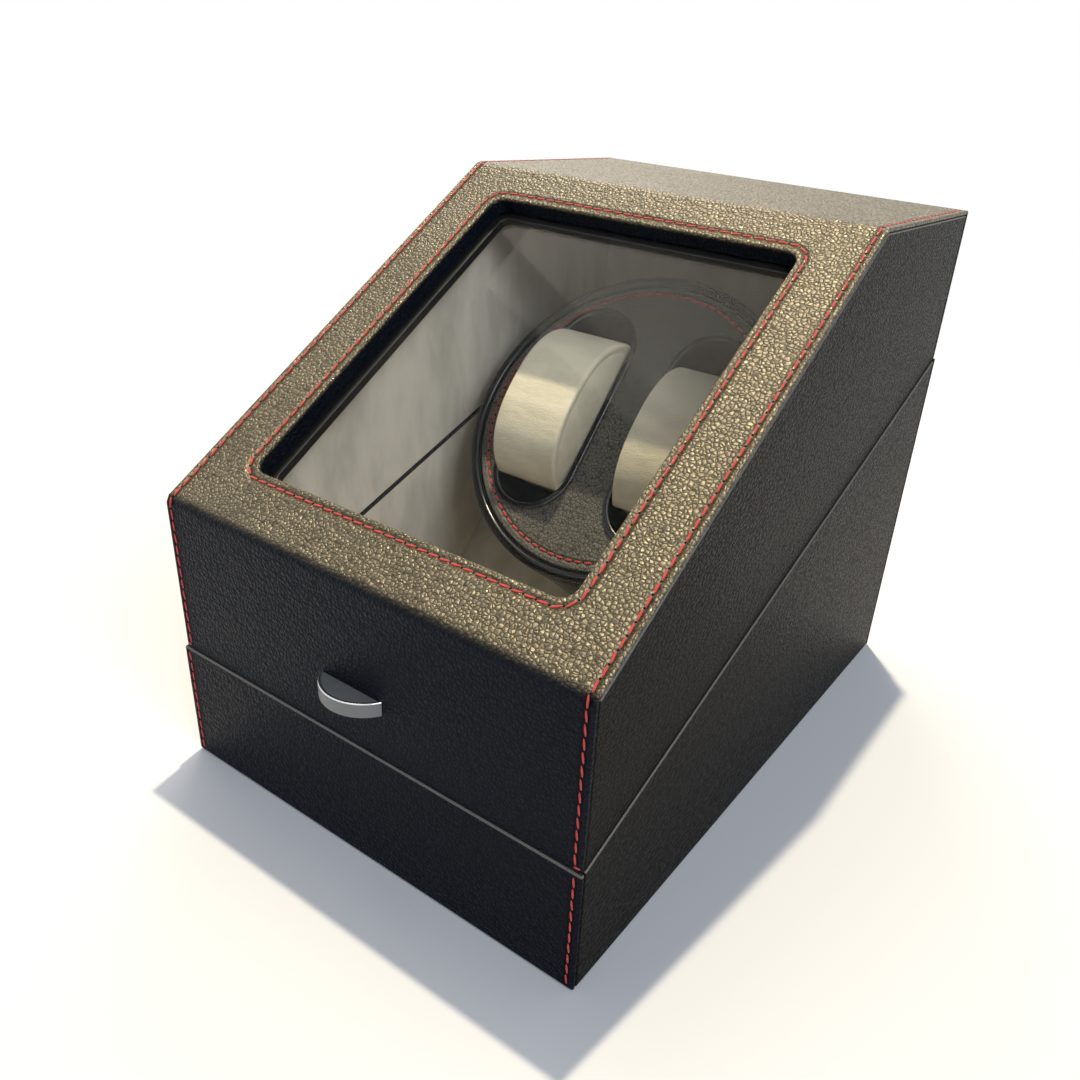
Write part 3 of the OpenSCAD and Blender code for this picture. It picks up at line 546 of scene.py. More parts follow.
SUEDE = Nap("suede", (0.68, 0.62, 0.49), (0.88, 0.81, 0.64), streak=(0.5, 1.0, 1.0), patch=0.12, fibre=2.2,
            depth=0.22, sheen=0.3)
FELT = Nap("felt", (0.010, 0.010, 0.011), (0.03, 0.03, 0.032), streak=(1, 1, 1), patch=0.3, depth=0.2,
           sheen=0.2)
# cup lips: the paler colour is a painted highlight along the lip; the gloss is the lip's own
CUP_LIP_HIGHLIGHT = Plain("cup_lip", (0.03, 0.03, 0.032), rough=0.28, gloss=1.0)
GLOSS_BLACK = Plain("gloss_black", (0.002, 0.002, 0.0025), rough=0.16, gloss=0.3, marks=0.06, texture=0.5,
                    depth=0.0005)
FRAME_BLACK = Plain("frame_black", (0.008, 0.008, 0.009), rough=0.45, marks=0.1, depth=0.006)
CONTROL_BLACK = Plain("control_black", (0.012, 0.012, 0.013), rough=0.5, texture=5.0, depth=0.03)
SELECTOR_BLUE = Plain("selector_blue", (0.03, 0.13, 0.38), rough=0.45)
SPACER_WHITE = Plain("spacer_white", (0.7, 0.69, 0.66), rough=0.4)
GEAR_WHITE = Plain("gear_white", (0.72, 0.7, 0.62), rough=0.42)
# tab body: a dark grey, mostly non-metallic colour that paints a dark reflection on the polished tab; its
# roughness gives a satin finish
TAB_METAL_DARK_REFLECTION = Plain("satin_metal", (0.14, 0.155, 0.165), rough=0.42, metal=0.3, marks=0.1, depth=0.002)
POLISHED = Plain("polished_metal", (0.72, 0.73, 0.75), rough=0.16, metal=1.0, marks=0.08, depth=0.001)
HINGE_STEEL = Brushed("hinge_steel", (0.42, 0.42, 0.43), rough=0.34)
SCREW_STEEL = Brushed("screw_steel", (0.5, 0.5, 0.52), rough=0.34, run=(1, 1, 1))
MOTOR_STEEL = Brushed("motor_steel", (0.55, 0.56, 0.57), rough=0.32, run=(1, 0.05, 0.05))
BRONZE = Plain("bronze", (0.55, 0.36, 0.13), rough=0.3, metal=1.0)
PANE = Glass("glass")
BOARD_GREEN = Circuit("circuit_board")
THREAD = Thread("red_thread")
# near-black: painted shade of the needle holes
NEEDLE_HOLE_SHADE = Plain("needle_hole", (0.002, 0.002, 0.002), rough=0.9, gloss=0.1)


# --- mesh helpers
def linked(name: str, data: bpy.types.ID) -> Object:
    """A new object of the scene, made of data."""
    made = bpy.data.objects.new(name, data)
    bpy.context.scene.collection.objects.link(made)
    return made


def copied(node: str) -> BMesh:
    """A merged copy of a CAD node's mesh, with its flat faces joined.

    Args:
        node: The node's name.

    Returns:
        The copy, in metres in the frame.
    """
    bm = bmesh.new()
    bm.from_mesh(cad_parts[node].data)
    bmesh.ops.remove_doubles(bm, verts=bm.verts, dist=3e-6)
    bmesh.ops.dissolve_limit(bm, angle_limit=math.radians(0.6), verts=bm.verts, edges=bm.edges)
    return bm


def rounded(bm: BMesh, radius: float, segments: int = 3, least: float = 30.0,
            where: Callable[[Vector], bool] | None = None, finish: int = 0) -> None:
    """Rounds the sharp edges of a mesh.

    Args:
        bm: The mesh, in metres.
        radius: How far the round reaches from the edge, in millimetres.
        segments: Faces across the round.
        least: The least fold of an edge that is rounded, in degrees.
        where: Tells from an edge's middle, in millimetres, whether it is rounded.
        finish: The material index that the new faces take.
    """
    def folded(edge: BMEdge) -> bool:
        """True for an edge that is to be rounded."""
        middle = (edge.verts[0].co + edge.verts[1].co) / (2 * MM)
        return edge.calc_face_angle(0.0) > math.radians(least) and (where is None or where(middle))

    edges = [e for e in bm.edges if e.is_manifold and folded(e)]
    made = bmesh.ops.bevel(bm, geom=edges, offset=radius * MM, offset_type="OFFSET", segments=segments,
                           profile=0.5, affect="EDGES", clamp_overlap=True, material=-1)
    for face in made["faces"]:
        face.material_index = finish


def published(bm: BMesh, name: str, body: Body, finishes: Sequence[Finish], stands_for: str | None = None,
              even: bool = True) -> Object:
    """Turns a finished mesh into a piece of the scene.

    Args:
        bm: The mesh, in metres in the frame.
        name: The piece's name.
        body: The body it rides on.
        finishes: Its finishes, by material index.
        stands_for: The CAD node that it replaces, which is hidden.
        even: Weighs its normals so that flat faces stay flat beside rounded edges.

    Returns:
        The new object.
    """
    mesh = bpy.data.meshes.new(name)
    bm.to_mesh(mesh)
    bm.free()
    for finish in finishes:
        mesh.materials.append(finish.material)
    mesh.shade_smooth()
    mesh.set_sharp_from_angle(angle=math.radians(42))
    piece = linked(name, mesh)
    if even:
        normals = piece.modifiers.new("even_normals", "WEIGHTED_NORMAL")
        normals.keep_sharp = True
    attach(piece, body.value)
    if stands_for:
        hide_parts(stands_for)
    LOG.info("%s: %d faces", name, len(mesh.polygons))
    return piece


def dressed(finish: Finish, *nodes: str) -> None:
    """Gives CAD nodes that are shown as they are a finish."""
    for node in nodes:
        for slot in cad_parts[node].material_slots:
            slot.material = finish.material
        LOG.info("%s: packed shape", node)


def recast(node: str, body: Body, finish: Finish, radius: float, segments: int = 2,
           edge: Finish | None = None, edge_finished_at: Callable[[Vector], bool] | None = None) -> Object:
    """A piece with a CAD node's own shape and rounded edges.

    Args:
        node: The CAD node it stands for.
        body: The body it rides on.
        finish: Its finish.
        radius: How far its edges are rounded, in millimetres.
        segments: Faces across each round.
        edge: The finish of the rounded edges, where it is another.
        edge_finished_at: Tells from a place in millimetres whether its edge has that finish, or None for every
            edge.

    Returns:
        The new object.
    """
    bm = copied(node)
    rounded(bm, radius, segments, finish=int(edge is not None))
    for face in bm.faces:
        if face.material_index and edge_finished_at is not None and not edge_finished_at(face.calc_center_median() / MM):
            face.material_index = 0
    return published(bm, f"{node}_piece", body, [finish] + [edge] * (edge is not None), node)


def lathed(profile: Sequence[tuple[float, float]], steps: int, place: Place) -> BMesh:
    """A closed profile of radius and height turned about a place's own axis.

    Args:
        profile: Points as radius and height, in millimetres, in order round the section.
        steps: Steps in the full turn.
        place: The place whose Z axis it turns about.

    Returns:
        The mesh, in metres in the frame.
    """
    bm = bmesh.new()
    verts = [bm.verts.new((r, 0.0, z)) for r, z in profile]
    edges = [bm.edges.new((a, b)) for a, b in zip(verts, verts[1:] + verts[:1])]
    bmesh.ops.spin(bm, geom=verts + edges, cent=(0, 0, 0), axis=(0, 0, 1), dvec=(0, 0, 0),
                   angle=math.tau, steps=steps, use_merge=True, use_duplicate=False)
    bmesh.ops.remove_doubles(bm, verts=bm.verts, dist=1e-4)
    bmesh.ops.recalc_face_normals(bm, faces=bm.faces)
    bmesh.ops.transform(bm, matrix=place.matrix, verts=bm.verts)
    return bm


# --- stitching
@dataclass(frozen=True)
class Seam:
    """A stitched line: points on the leather, and the leather's normal at each."""

    points: tuple[Vector, ...]
    normals: tuple[Vector, ...]
    place: Place = Place.BOX
    pitch: float = 4.3
    closed: bool = False

    def at(self, distance: float) -> tuple[Vector, Vector, Vector]:
        """Point, direction and normal at a distance along the seam."""
        ends = list(self.points) + ([self.points[0]] if self.closed else [])
        ups = list(self.normals) + ([self.normals[0]] if self.closed else [])
        for a, b, up_a, up_b in zip(ends, ends[1:], ups, ups[1:]):
            step = (b - a).length
            if distance <= step or b is ends[-1]:
                share = min(distance / step, 1.0)
                return a.lerp(b, share), (b - a).normalized(), up_a.lerp(up_b, share).normalized()
            distance -= step
        raise ValueError("a seam needs two points")

    @property
    def length(self) -> float:
        """Its whole length in millimetres."""
        ends = list(self.points) + ([self.points[0]] if self.closed else [])
        return sum((b - a).length for a, b in zip(ends, ends[1:]))


@dataclass
class Stitching:
    """Stitches of red thread along several seams, made as one piece."""

    name: str
    body: Body
    seams: Sequence[Seam]
    long: float = 3.75
    wide: float = 0.66
    high: float = 0.5
    slant: float = 7.0
    hole_r: float = 0.42
    hole_deep: float = 0.12
    seed: int = 5

    def stitch(self, bm: BMesh, uv: bmesh.types.BMLayerItem, seam: Seam, distance: float, long: float,
               dice: random.Random) -> None:
        """Adds one stitch.

        Args:
            bm: The mesh that takes it.
            uv: The layer that winds the thread.
            seam: The seam that it lies on.
            distance: The place of its middle along the seam.
            long: Its length in millimetres.
            dice: Seeded chance for its small differences.
        """
        point, along, up = seam.at(distance)
        side = up.cross(along).normalized()
        turn = math.radians(self.slant + dice.uniform(-3, 3))
        along, side = (along * math.cos(turn) + side * math.sin(turn),
                       side * math.cos(turn) - along * math.sin(turn))
        basis = Matrix((along, side, up)).transposed().to_4x4()
        where = Matrix.Translation(point + up * (self.high * 0.10)) @ basis
        made = bmesh.ops.create_uvsphere(bm, u_segments=8, v_segments=6, radius=0.5,
                                         matrix=Matrix.Rotation(math.pi / 2, 4, "Y"))["verts"]
        for vert in made:
            belly = math.copysign(abs(vert.co.x * 2) ** 0.8, vert.co.x) / 2
            full = 1.12 if abs(vert.co.x) < 0.45 else 1.0
            vert.co = Vector((belly * long, vert.co.y * self.wide * full, vert.co.z * self.high * full))
        for face in {f for v in made for f in v.link_faces}:
            face.material_index = 0
            for loop in face.loops:
                co = loop.vert.co
                loop[uv].uv = (co.x * 1.1, math.atan2(co.z, co.y) / math.tau)
        bmesh.ops.transform(bm, matrix=seam.place.matrix @ where, verts=made)

    def hole(self, bm: BMesh, seam: Seam, distance: float) -> None:
        """Adds a near-black dimple between two stitches, painted shade where the needle hole is."""
        point, along, up = seam.at(distance)
        side = up.cross(along).normalized()
        basis = Matrix((along * self.hole_r, side * self.hole_r, up * self.hole_deep)).transposed().to_4x4()
        made = bmesh.ops.create_icosphere(bm, subdivisions=1, radius=1.0,
                                          matrix=seam.place.matrix @ Matrix.Translation(point) @ basis)["verts"]
        for face in {f for v in made for f in v.link_faces}:
            face.material_index = 1

    def build(self) -> Object:
        """Builds every stitch.

        Returns:
            The stitching as one object.
        """
        bm = bmesh.new()
        uv = bm.loops.layers.uv.new("stitch")
        dice = random.Random(self.seed)
        for seam in self.seams:
            count = max(1, round(seam.length / seam.pitch))
            pitch = seam.length / count
            long = self.long * pitch / Seam.pitch
            for i in range(count):
                self.stitch(bm, uv, seam, pitch * (i + 0.5) + dice.uniform(-0.08, 0.08), long, dice)
                self.hole(bm, seam, pitch * i)
        return published(bm, self.name, self.body, [THREAD, NEEDLE_HOLE_SHADE], even=False)


# --- the box
@dataclass
class Box:
    """Sizes that the leather case and its seams share, in millimetres."""

    half_w: float = 85.0
    half_d: float = 120.0
    front_h: float = 102.0
    top: float = 200.0
    slope_back: float = 28.0
    split_front: float = 45.5
    split_gap: float = 0.4
    base_front: float = -120.7
    window_mid: float = 90.5
    window_half_w: float = 63.0
    window_half_l: float = 69.5
    lid_seam_x: float = 82.5
    base_seam_x: float = 83.1
    seam_half_w: float = 66.0
    seam_half_l: float = 72.5
    seam_r: float = 7.5

    def by_split(self, at: Vector) -> bool:
        """True for a place in millimetres beside the line where the lid meets the base."""
        return abs(at.z - self.split_front - (at.y + self.half_d) * math.tan(SPLIT_TILT)) < 1.6

    def corner_path(self, x: float) -> tuple[tuple[Vector, ...], tuple[Vector, ...]]:
        """Seam over front, slope and top of the lid at one side.

        Args:
            x: The seam's place across the box.

        Returns:
            Its points and the leather's normals there.
        """
        lean = Vector((0, -math.sin(SLOPE_TILT), math.cos(SLOPE_TILT)))
        run = Vector((0, math.cos(SLOPE_TILT), math.sin(SLOPE_TILT)))
        low = Vector((x, -self.half_d, self.front_h))
        high = Vector((x, self.slope_back, self.top))
        foot = self.split_front + self.split_gap + 1.4
        return (
            (Vector((x, -self.half_d, foot)), low - Vector((0, 0, 1.4)),
             low + run * 0.15 - Vector((0, -0.25, 0.2)), low + run * 1.4, high - run * 1.2,
             high + Vector((0, 1.2, 0)), Vector((x, self.half_d - 1.6, self.top))),
            (AHEAD, AHEAD, (AHEAD + lean).normalized(), lean, lean, UP, UP))

    def window_path(self) -> tuple[tuple[Vector, ...], tuple[Vector, ...]]:
        """Seam round the window, in the slope's own place."""
        points = []
        for quarter, (sx, sy) in enumerate(((1, 1), (-1, 1), (-1, -1), (1, -1))):
            mid = Vector((sx * (self.seam_half_w - self.seam_r),
                          self.window_mid + sy * (self.seam_half_l - self.seam_r), 0))
            for step in range(7):
                turn = math.pi / 2 * (quarter + step / 6)
                points.append(mid + Vector((math.cos(turn), math.sin(turn), 0)) * self.seam_r)
        return tuple(points), (UP,) * len(points)


@dataclass
class LidCase(Box):
    """Leather case of the lid: wrap, side and back covers, and its stitching."""

    crease_r: float = 4.0
    front_fold: float = 0.537
    top_fold: float = 0.301
    edge_r: float = 0.55
    lip_r: float = 0.85

    def wrap(self) -> Object:
        """Builds the leather strip over front, slope and top, rolled over its edges."""
        bm = copied("lid_wrap")
        crease, brow = self.crease_r * self.front_fold, self.crease_r * 1.6 * self.top_fold
        rounded(bm, crease, 5, 20.0, lambda m: abs(m.y + self.half_d) < 0.05 and abs(m.z - self.front_h) < 0.05)
        rounded(bm, brow, 4, 20.0, lambda m: abs(m.y - self.slope_back) < 0.05 and abs(m.z - self.top) < 0.05)
        self.roll(bm)
        rounded(bm, self.edge_r, 3, 50.0, lambda m: abs(abs(m.x) - self.half_w) < 0.05 and self.outside(m))
        return published(bm, "lid_wrap_leather", Body.LID, [LID_LEATHER], "lid_wrap")

    def wear_and_painted_highlight(self, middle: Vector) -> bool:
        """Whether a spot of the side covers lies on an edge that takes the painted highlight."""
        return self.by_split(middle) or middle.z > self.front_h + 1.0

    def outside(self, middle: Vector) -> bool:
        """True for a point on the outer surface of the wrap."""
        slope = self.front_h + (middle.y + self.half_d) * math.tan(SLOPE_TILT)
        on_front = middle.y < -self.half_d + 0.3 and middle.z > self.split_front + 1.0
        on_slope = abs(middle.z - slope) < 0.4 and middle.z > self.front_h
        return on_front or on_slope or abs(middle.z - self.top) < 0.3

    def roll(self, bm: BMesh) -> None:
        """Rounds the leather where it is turned into the window opening."""
        inverse = Place.SLOPE.matrix.inverted()

        def at_mouth(middle: Vector) -> bool:
            """True for an edge round the mouth of the opening."""
            p = inverse @ (middle * MM)
            near_x = abs(p.x) < self.window_half_w + 0.3
            return near_x and abs(p.y - self.window_mid) < self.window_half_l + 0.3 and abs(p.z) < 0.05

        rounded(bm, self.lip_r, 4, 50.0, at_mouth)

    def seams(self) -> list[Seam]:
        """The lid's seams."""
        made = [Seam(*self.corner_path(side * self.lid_seam_x)) for side in (-1, 1)]
        made.append(Seam(*self.window_path(), place=Place.SLOPE, closed=True))
        foot = self.split_front + self.split_gap + 1.0
        for side in (-1, 1):
            ends = (Vector((side * (self.lid_seam_x - 0.4), -self.half_d, foot)),
                    Vector((side * (self.half_w - 0.3), -self.half_d, foot)))
            made.append(Seam(ends, (AHEAD, AHEAD)))
        return made

    def build(self) -> None:
        """Builds the lid's leather case."""
        self.wrap()
        recast("lid_side_covers", Body.LID, SIDE_LEATHER, 0.7, 3, EDGE_HIGHLIGHT_LEATHER, self.wear_and_painted_highlight)
        recast("lid_back_cover", Body.LID, SIDE_LEATHER, 0.4)
        Stitching("lid_stitching", Body.LID, self.seams()).build()


@dataclass
class BaseCase(Box):
    """Leather case of the base, and its stitching."""

    edge_r: float = 0.5

    def seams(self) -> list[Seam]:
        """The base's two seams."""
        return [Seam((Vector((x, self.base_front, 1.8)), Vector((x, self.base_front, self.split_front - 1.4))),
                     (AHEAD, AHEAD)) for x in (-self.base_seam_x, self.base_seam_x)]

    def build(self) -> None:
        """Builds the base's leather case."""
        # edges beside the split take the edge leather's painted highlight
        recast("base_front_cover", Body.BASE, BASE_LEATHER, self.edge_r, 3, EDGE_HIGHLIGHT_LEATHER,
               self.by_split)
        recast("base_side_covers", Body.BASE, SIDE_LEATHER, 0.5, 3, EDGE_HIGHLIGHT_LEATHER, self.by_split)
        recast("base_back_cover", Body.BASE, SIDE_LEATHER, 0.4)
        Stitching("base_stitching", Body.BASE, self.seams(), seed=9).build()
        dressed(FELT, "underside_felt")


@dataclass
class Carcass(Box):
    """Boards and velvet linings of base and lid."""

    lining_r: float = 0.9

    def build(self) -> None:
        """Dresses the boards and rounds the linings."""
        dressed(BOARD_WRAP, "base_floor_board", "base_front_board", "base_back_board", "base_side_boards",
                "lid_front_board", "lid_slope_board", "lid_top_board", "lid_back_board", "lid_side_boards",
                "turntable_panel")
        for node in ("base_front_lining", "base_side_linings", "base_floor_lining", "turntable_panel_lining"):
            recast(node, Body.BASE, VELVET, self.lining_r, 3, BOARD_WRAP, self.by_split)
        for node in ("lid_front_lining", "lid_top_lining", "lid_back_lining", "lid_side_linings"):
            recast(node, Body.LID, VELVET, self.lining_r, 3, BOARD_WRAP, self.by_split)


@dataclass
class Window(Box):
    """Glass pane and the black frame under it."""

    def build(self) -> None:
        """Builds the window."""
        dressed(PANE, "window_pane")
        recast("window_frame", Body.LID, FRAME_BLACK, 0.35)


@dataclass
class LiftTab(Box):
    """Half-moon metal tab on the lid's front."""

    radius: float = 15.0
    out: float = 7.6
    thick: float = 5.1
    level: float = 66.7
    x: float = -2.0
    rim: float = 0.9
    dish: float = 0.35
    bevel: float = 0.3

    def build(self) -> None:
        """Builds the tab with its dished upper face."""
        top, low, edge = self.level, self.level - self.thick, self.radius
        rounds = [(edge - self.bevel * (1 - math.sin(a)), top - self.bevel * (1 - math.cos(a)))
                  for a in (math.radians(step) for step in range(0, 91, 18))]
        profile = [(0.0, top - self.dish), (edge - self.rim - 0.3, top - self.dish), (edge - self.rim, top),
                   *rounds, *((r, low + top - z) for r, z in reversed(rounds)), (0.0, low)]
        bm = lathed(profile, 160, Place.BOX)
        place = Vector((self.x, self.radius - self.out - self.half_d, 0)) * MM
        bmesh.ops.translate(bm, vec=place, verts=bm.verts)
        cut = bmesh.ops.bisect_plane(bm, geom=bm.verts[:] + bm.edges[:] + bm.faces[:],
                                     plane_co=(0, -self.half_d * MM, 0), plane_no=(0, 1, 0), clear_outer=True)
        bmesh.ops.contextual_create(bm, geom=[e for e in cut["geom_cut"] if isinstance(e, BMEdge)])
        bmesh.ops.recalc_face_normals(bm, faces=bm.faces)
        for face in bm.faces:
            at = face.calc_center_median() / MM
            reach = math.hypot(at.x - self.x, at.y + self.half_d + self.out - self.radius)
            shown = at.z > top - self.bevel and at.y < -self.half_d - 0.1
            face.material_index = int(shown and reach > edge - self.rim)
        # the body's dark grey paints a dark reflection; the polished rim reflects as it is
        published(bm, "lift_tab_metal", Body.LID, [TAB_METAL_DARK_REFLECTION, POLISHED], "lift_tab")


@dataclass
class Turntable:
    """Drum with its glossy rim, leather face, cups and ring of stitches."""

    rim_r: float = 65.5
    rim_w: float = 4.5
    collar_r: float = 62.2
    ledge_r: float = 59.7
    side_r: float = 64.7
    bore_r: float = 4.03
    depth: float = 46.0
    wall: float = 2.5
    seam_r: float = 57.3
    steps: int = 192

    def rim(self) -> None:
        """Builds the rounded rim and its outer band."""
        crown = [(self.rim_r - self.rim_w / 2 + self.rim_w / 2 * math.cos(math.radians(a)),
                  self.rim_w / 2 * math.sin(math.radians(a)) - self.rim_w / 4) for a in range(180, -1, -12)]
        inner = self.rim_r - self.rim_w
        profile = [(inner - 3.3, -3.0), (inner, -3.0), *crown, (self.rim_r, -2.4), (self.rim_r - 0.35, -2.7),
                   (self.rim_r - 0.35, -3.0), (self.rim_r, -3.3), (self.rim_r, -5.7), (self.rim_r - 0.3, -6.0),
                   (self.collar_r, -6.0), (self.collar_r, -12.0), (self.ledge_r, -12.0), (self.ledge_r, -5.5),
                   (inner - 3.3, -5.5)]
        bm = lathed(profile, self.steps, Place.TABLE)
        published(bm, "drum_rim_gloss", Body.TURNTABLE, [GLOSS_BLACK], "drum_rim")

    def shell(self) -> None:
        """Builds the drum's side and back."""
        out, back, bore = self.side_r, -self.depth, self.bore_r
        profile = [(bore, back), (out - 1.5, back), (out - 0.45, back + 0.45), (out, back + 1.5), (out, -6.0),
                   (out - self.wall, -6.0), (out - self.wall, back + 3.0), (bore, back + 3.0)]
        bm = lathed(profile, self.steps, Place.TABLE)
        published(bm, "drum_shell_gloss", Body.TURNTABLE, [GLOSS_BLACK], "drum_shell")

    def ring(self) -> Seam:
        """The ring of stitches on the face."""
        turns = [math.tau * i / 160 for i in range(160)]
        points = tuple(Vector((math.cos(t), math.sin(t), 0)) * self.seam_r for t in turns)
        return Seam(points, (UP,) * len(points), Place.TABLE, 4.1, closed=True)

    def build(self) -> None:
        """Builds the turntable."""
        self.rim()
        self.shell()
        recast("drum_face", Body.TURNTABLE, FACE_LEATHER, 0.9, 4)
        # the cups' rounded lips take the painted highlight
        recast("watch_cups", Body.TURNTABLE, GLOSS_BLACK, 0.42, 4, CUP_LIP_HIGHLIGHT)
        Stitching("turntable_stitching", Body.TURNTABLE, [self.ring()], long=3.2, wide=1.0, high=0.7, slant=3.0,
                  seed=13).build()
        recast("turntable_shaft", Body.TURNTABLE, SCREW_STEEL, 0.2)
        dressed(GEAR_WHITE, "driven_gear")
        dressed(HINGE_STEEL, "shaft_clip")


@dataclass
class Pillow:
    """Watch pillow: a suede band sewn round two oval side panels over foam."""

    name: str
    node: str
    body: Body
    x: float
    half_l: float = 36.0
    low: float = -41.5
    rise: float = 21.0
    power: float = 2.4
    brink: float = -1.5
    sunk: float = 2.0
    ahead: float = 2.2
    front_share: float = 0.93
    plug_share: float = 0.84
    stations: int = 120
    puff: float = 0.6

    def spot(self, station: int, inset: float, x: float) -> Vector:
        """A point of the oval at one station, moved inward and across."""
        turn = math.tau * station / self.stations
        middle, half_t = (self.rise + self.low) / 2, (self.rise - self.low) / 2
        grow = 2 / self.power
        c, s = math.cos(turn), math.sin(turn)
        along = (self.half_l - inset) * math.copysign(abs(c) ** grow, c)
        up = middle + (half_t - inset) * math.copysign(abs(s) ** grow, s)
        up = max(up - self.sunk, self.low)
        along *= self.front_share if c < 0 else 1.0
        along *= self.plug_share if up < self.brink else 1.0
        return Vector((self.x + x, along - self.ahead, up))

    def rings(self) -> list[tuple[float, float, bool]]:
        """Place across, inset and pinning of each ring of points, from the left panel to the right."""
        side = [(14.75, 26.0), (14.75, 21.0), (14.75, 16.0), (14.75, 11.0), (14.7, 7.6), (14.55, 5.6),
                (14.3, 4.5), (13.95, 3.8), (14.05, 3.3), (14.6, 2.7), (14.95, 1.9), (15.0, 1.05),
                (14.75, 0.35), (14.2, 0.05), (13.2, 0.0)]
        sewn = (3.8, 3.3, 1.9, 1.05, 0.35, 0.05)
        half = [(x, inset, inset in sewn) for x, inset in side + [(x, 0.0) for x in (11.5, 9.0, 6.5, 4.0, 2.0)]]
        return [(-x, inset, pin) for x, inset, pin in half] + [(0.0, 0.0, False)] + half[::-1]

    def shape(self) -> BMesh:
        """Builds the pillow's skin, ring by ring.

        The crown ends in a corner at the brink, and a narrower plug below it stands in the cup.

        Returns:
            The closed skin in the turntable's own place, in millimetres.
        """
        bm = bmesh.new()
        station = bm.verts.layers.int.new("station")
        pinned = bm.verts.layers.int.new("pinned")
        made = bmesh.ops.create_circle(bm, cap_ends=False, segments=self.stations, radius=1.0)["verts"]
        for vert in made:
            vert[station] = round(math.atan2(vert.co.y, vert.co.x) / math.tau * self.stations) % self.stations
        ring, edges = list(made), bm.edges[:]
        caps = []
        for i, (x, inset, pin) in enumerate(self.rings()):
            if i:
                grown = bmesh.ops.extrude_edge_only(bm, edges=edges)["geom"]
                ring = [v for v in grown if isinstance(v, BMVert)]
                fresh = set(ring)
                edges = [e for e in grown if isinstance(e, BMEdge) and set(e.verts) <= fresh]
            for vert in ring:
                vert.co = self.spot(vert[station], inset, x)
                vert[pinned] = int(pin)
            if i == 0 or i == len(self.rings()) - 1:
                caps.append(list(edges))
        for loop in caps:
            faces = bmesh.ops.contextual_create(bm, geom=loop)["faces"]
            bmesh.ops.poke(bm, faces=faces, offset=0.0)
        bmesh.ops.recalc_face_normals(bm, faces=bm.faces)
        return bm

    def settled(self, bm: BMesh) -> BMesh:
        """Swells the skin over its foam as cloth, held at its seams.

        Args:
            bm: The skin at rest, in metres in the frame.

        Returns:
            The swollen skin.
        """
        pinned = bm.verts.layers.int["pinned"]
        held = [v.index for v in bm.verts if v[pinned]]
        rest = [v.co.copy() for v in bm.verts]
        mesh = bpy.data.meshes.new("skin")
        bm.to_mesh(mesh)
        skin = linked("skin", mesh)
        group = skin.vertex_groups.new(name="seams")
        group.add(held, 1.0, "REPLACE")
        cloth = skin.modifiers.new("cloth", "CLOTH")
        cloth.settings.quality = 6
        cloth.settings.mass = 0.3
        cloth.settings.use_pressure = True
        cloth.settings.uniform_pressure_force = 4.0
        cloth.settings.vertex_group_mass = "seams"
        cloth.settings.effector_weights.gravity = 0.0
        cloth.point_cache.frame_start, cloth.point_cache.frame_end = 1, 20
        for step in range(1, 21):
            bpy.context.scene.frame_set(step)
        grown = skin.evaluated_get(bpy.context.evaluated_depsgraph_get()).to_mesh()
        for vert, co, was in zip(bm.verts, (v.co.copy() for v in grown.vertices), rest):
            move = co - was
            vert.co = was + move * min(1.0, self.puff * MM / max(move.length, 1e-9))
        bpy.data.objects.remove(skin)
        bpy.context.scene.frame_set(1)
        return bm

    def build(self) -> None:
        """Builds the pillow."""
        bm = self.shape()
        bmesh.ops.transform(bm, matrix=Place.TABLE.matrix, verts=bm.verts)
        bm.verts.ensure_lookup_table()
        bm.verts.index_update()
        bm = self.settled(bm)
        piece = published(bm, self.name, self.body, [SUEDE], self.node, even=False)
        smooth = piece.modifiers.new("smooth", "SUBSURF")
        smooth.levels = smooth.render_levels = 1


@dataclass
class HardParts:
    """A sub-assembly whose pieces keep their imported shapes, some with softened edges."""

    softened: Sequence[tuple[str, Body, Finish, float, int]]
    plain: Sequence[tuple[Finish, Sequence[str]]]

    def build(self) -> None:
        """Dresses the pieces."""
        for node, body, finish, radius, segments in self.softened:
            recast(node, body, finish, radius, segments)
        for finish, nodes in self.plain:
            dressed(finish, *nodes)


DRIVE = HardParts(
    (("shaft_bush", Body.BASE, BRONZE, 0.25, 2), ("bush_nut", Body.BASE, HINGE_STEEL, 0.25, 2),
     ("motor_bracket", Body.BASE, HINGE_STEEL, 0.2, 2), ("drive_screws", Body.BASE, SCREW_STEEL, 0.2, 2),
     ("gearbox", Body.BASE, MOTOR_STEEL, 0.5, 3), ("motor_can", Body.BASE, MOTOR_STEEL, 0.2, 2)),
    ((BRONZE, ("motor_pinion",)),))
REAR_CONTROLS = HardParts(
    (("mode_knob", Body.KNOB, CONTROL_BLACK, 0.4, 3), ("rear_plate", Body.BASE, CONTROL_BLACK, 0.5, 3),
     ("rear_plate_screws", Body.BASE, SCREW_STEEL, 0.45, 3), ("dc_jack", Body.BASE, CONTROL_BLACK, 0.3, 2),
     ("switch_housing", Body.BASE, CONTROL_BLACK, 0.3, 2),
     ("power_rocker", Body.ROCKER, CONTROL_BLACK, 0.35, 2)),
    ((SELECTOR_BLUE, ("selector_body",)), (BOARD_GREEN, ("control_board",)),
     (SPACER_WHITE, ("board_spacers",))))
FITTINGS = HardParts(
    (("hinge_leaves_base", Body.BASE, HINGE_STEEL, 0.22, 2),
     ("hinge_leaves_lid", Body.LID, HINGE_STEEL, 0.22, 2)),
    ((SCREW_STEEL, ("hinge_pins", "hinge_screws_base", "hinge_screws_lid", "base_magnets", "lid_magnets")),))


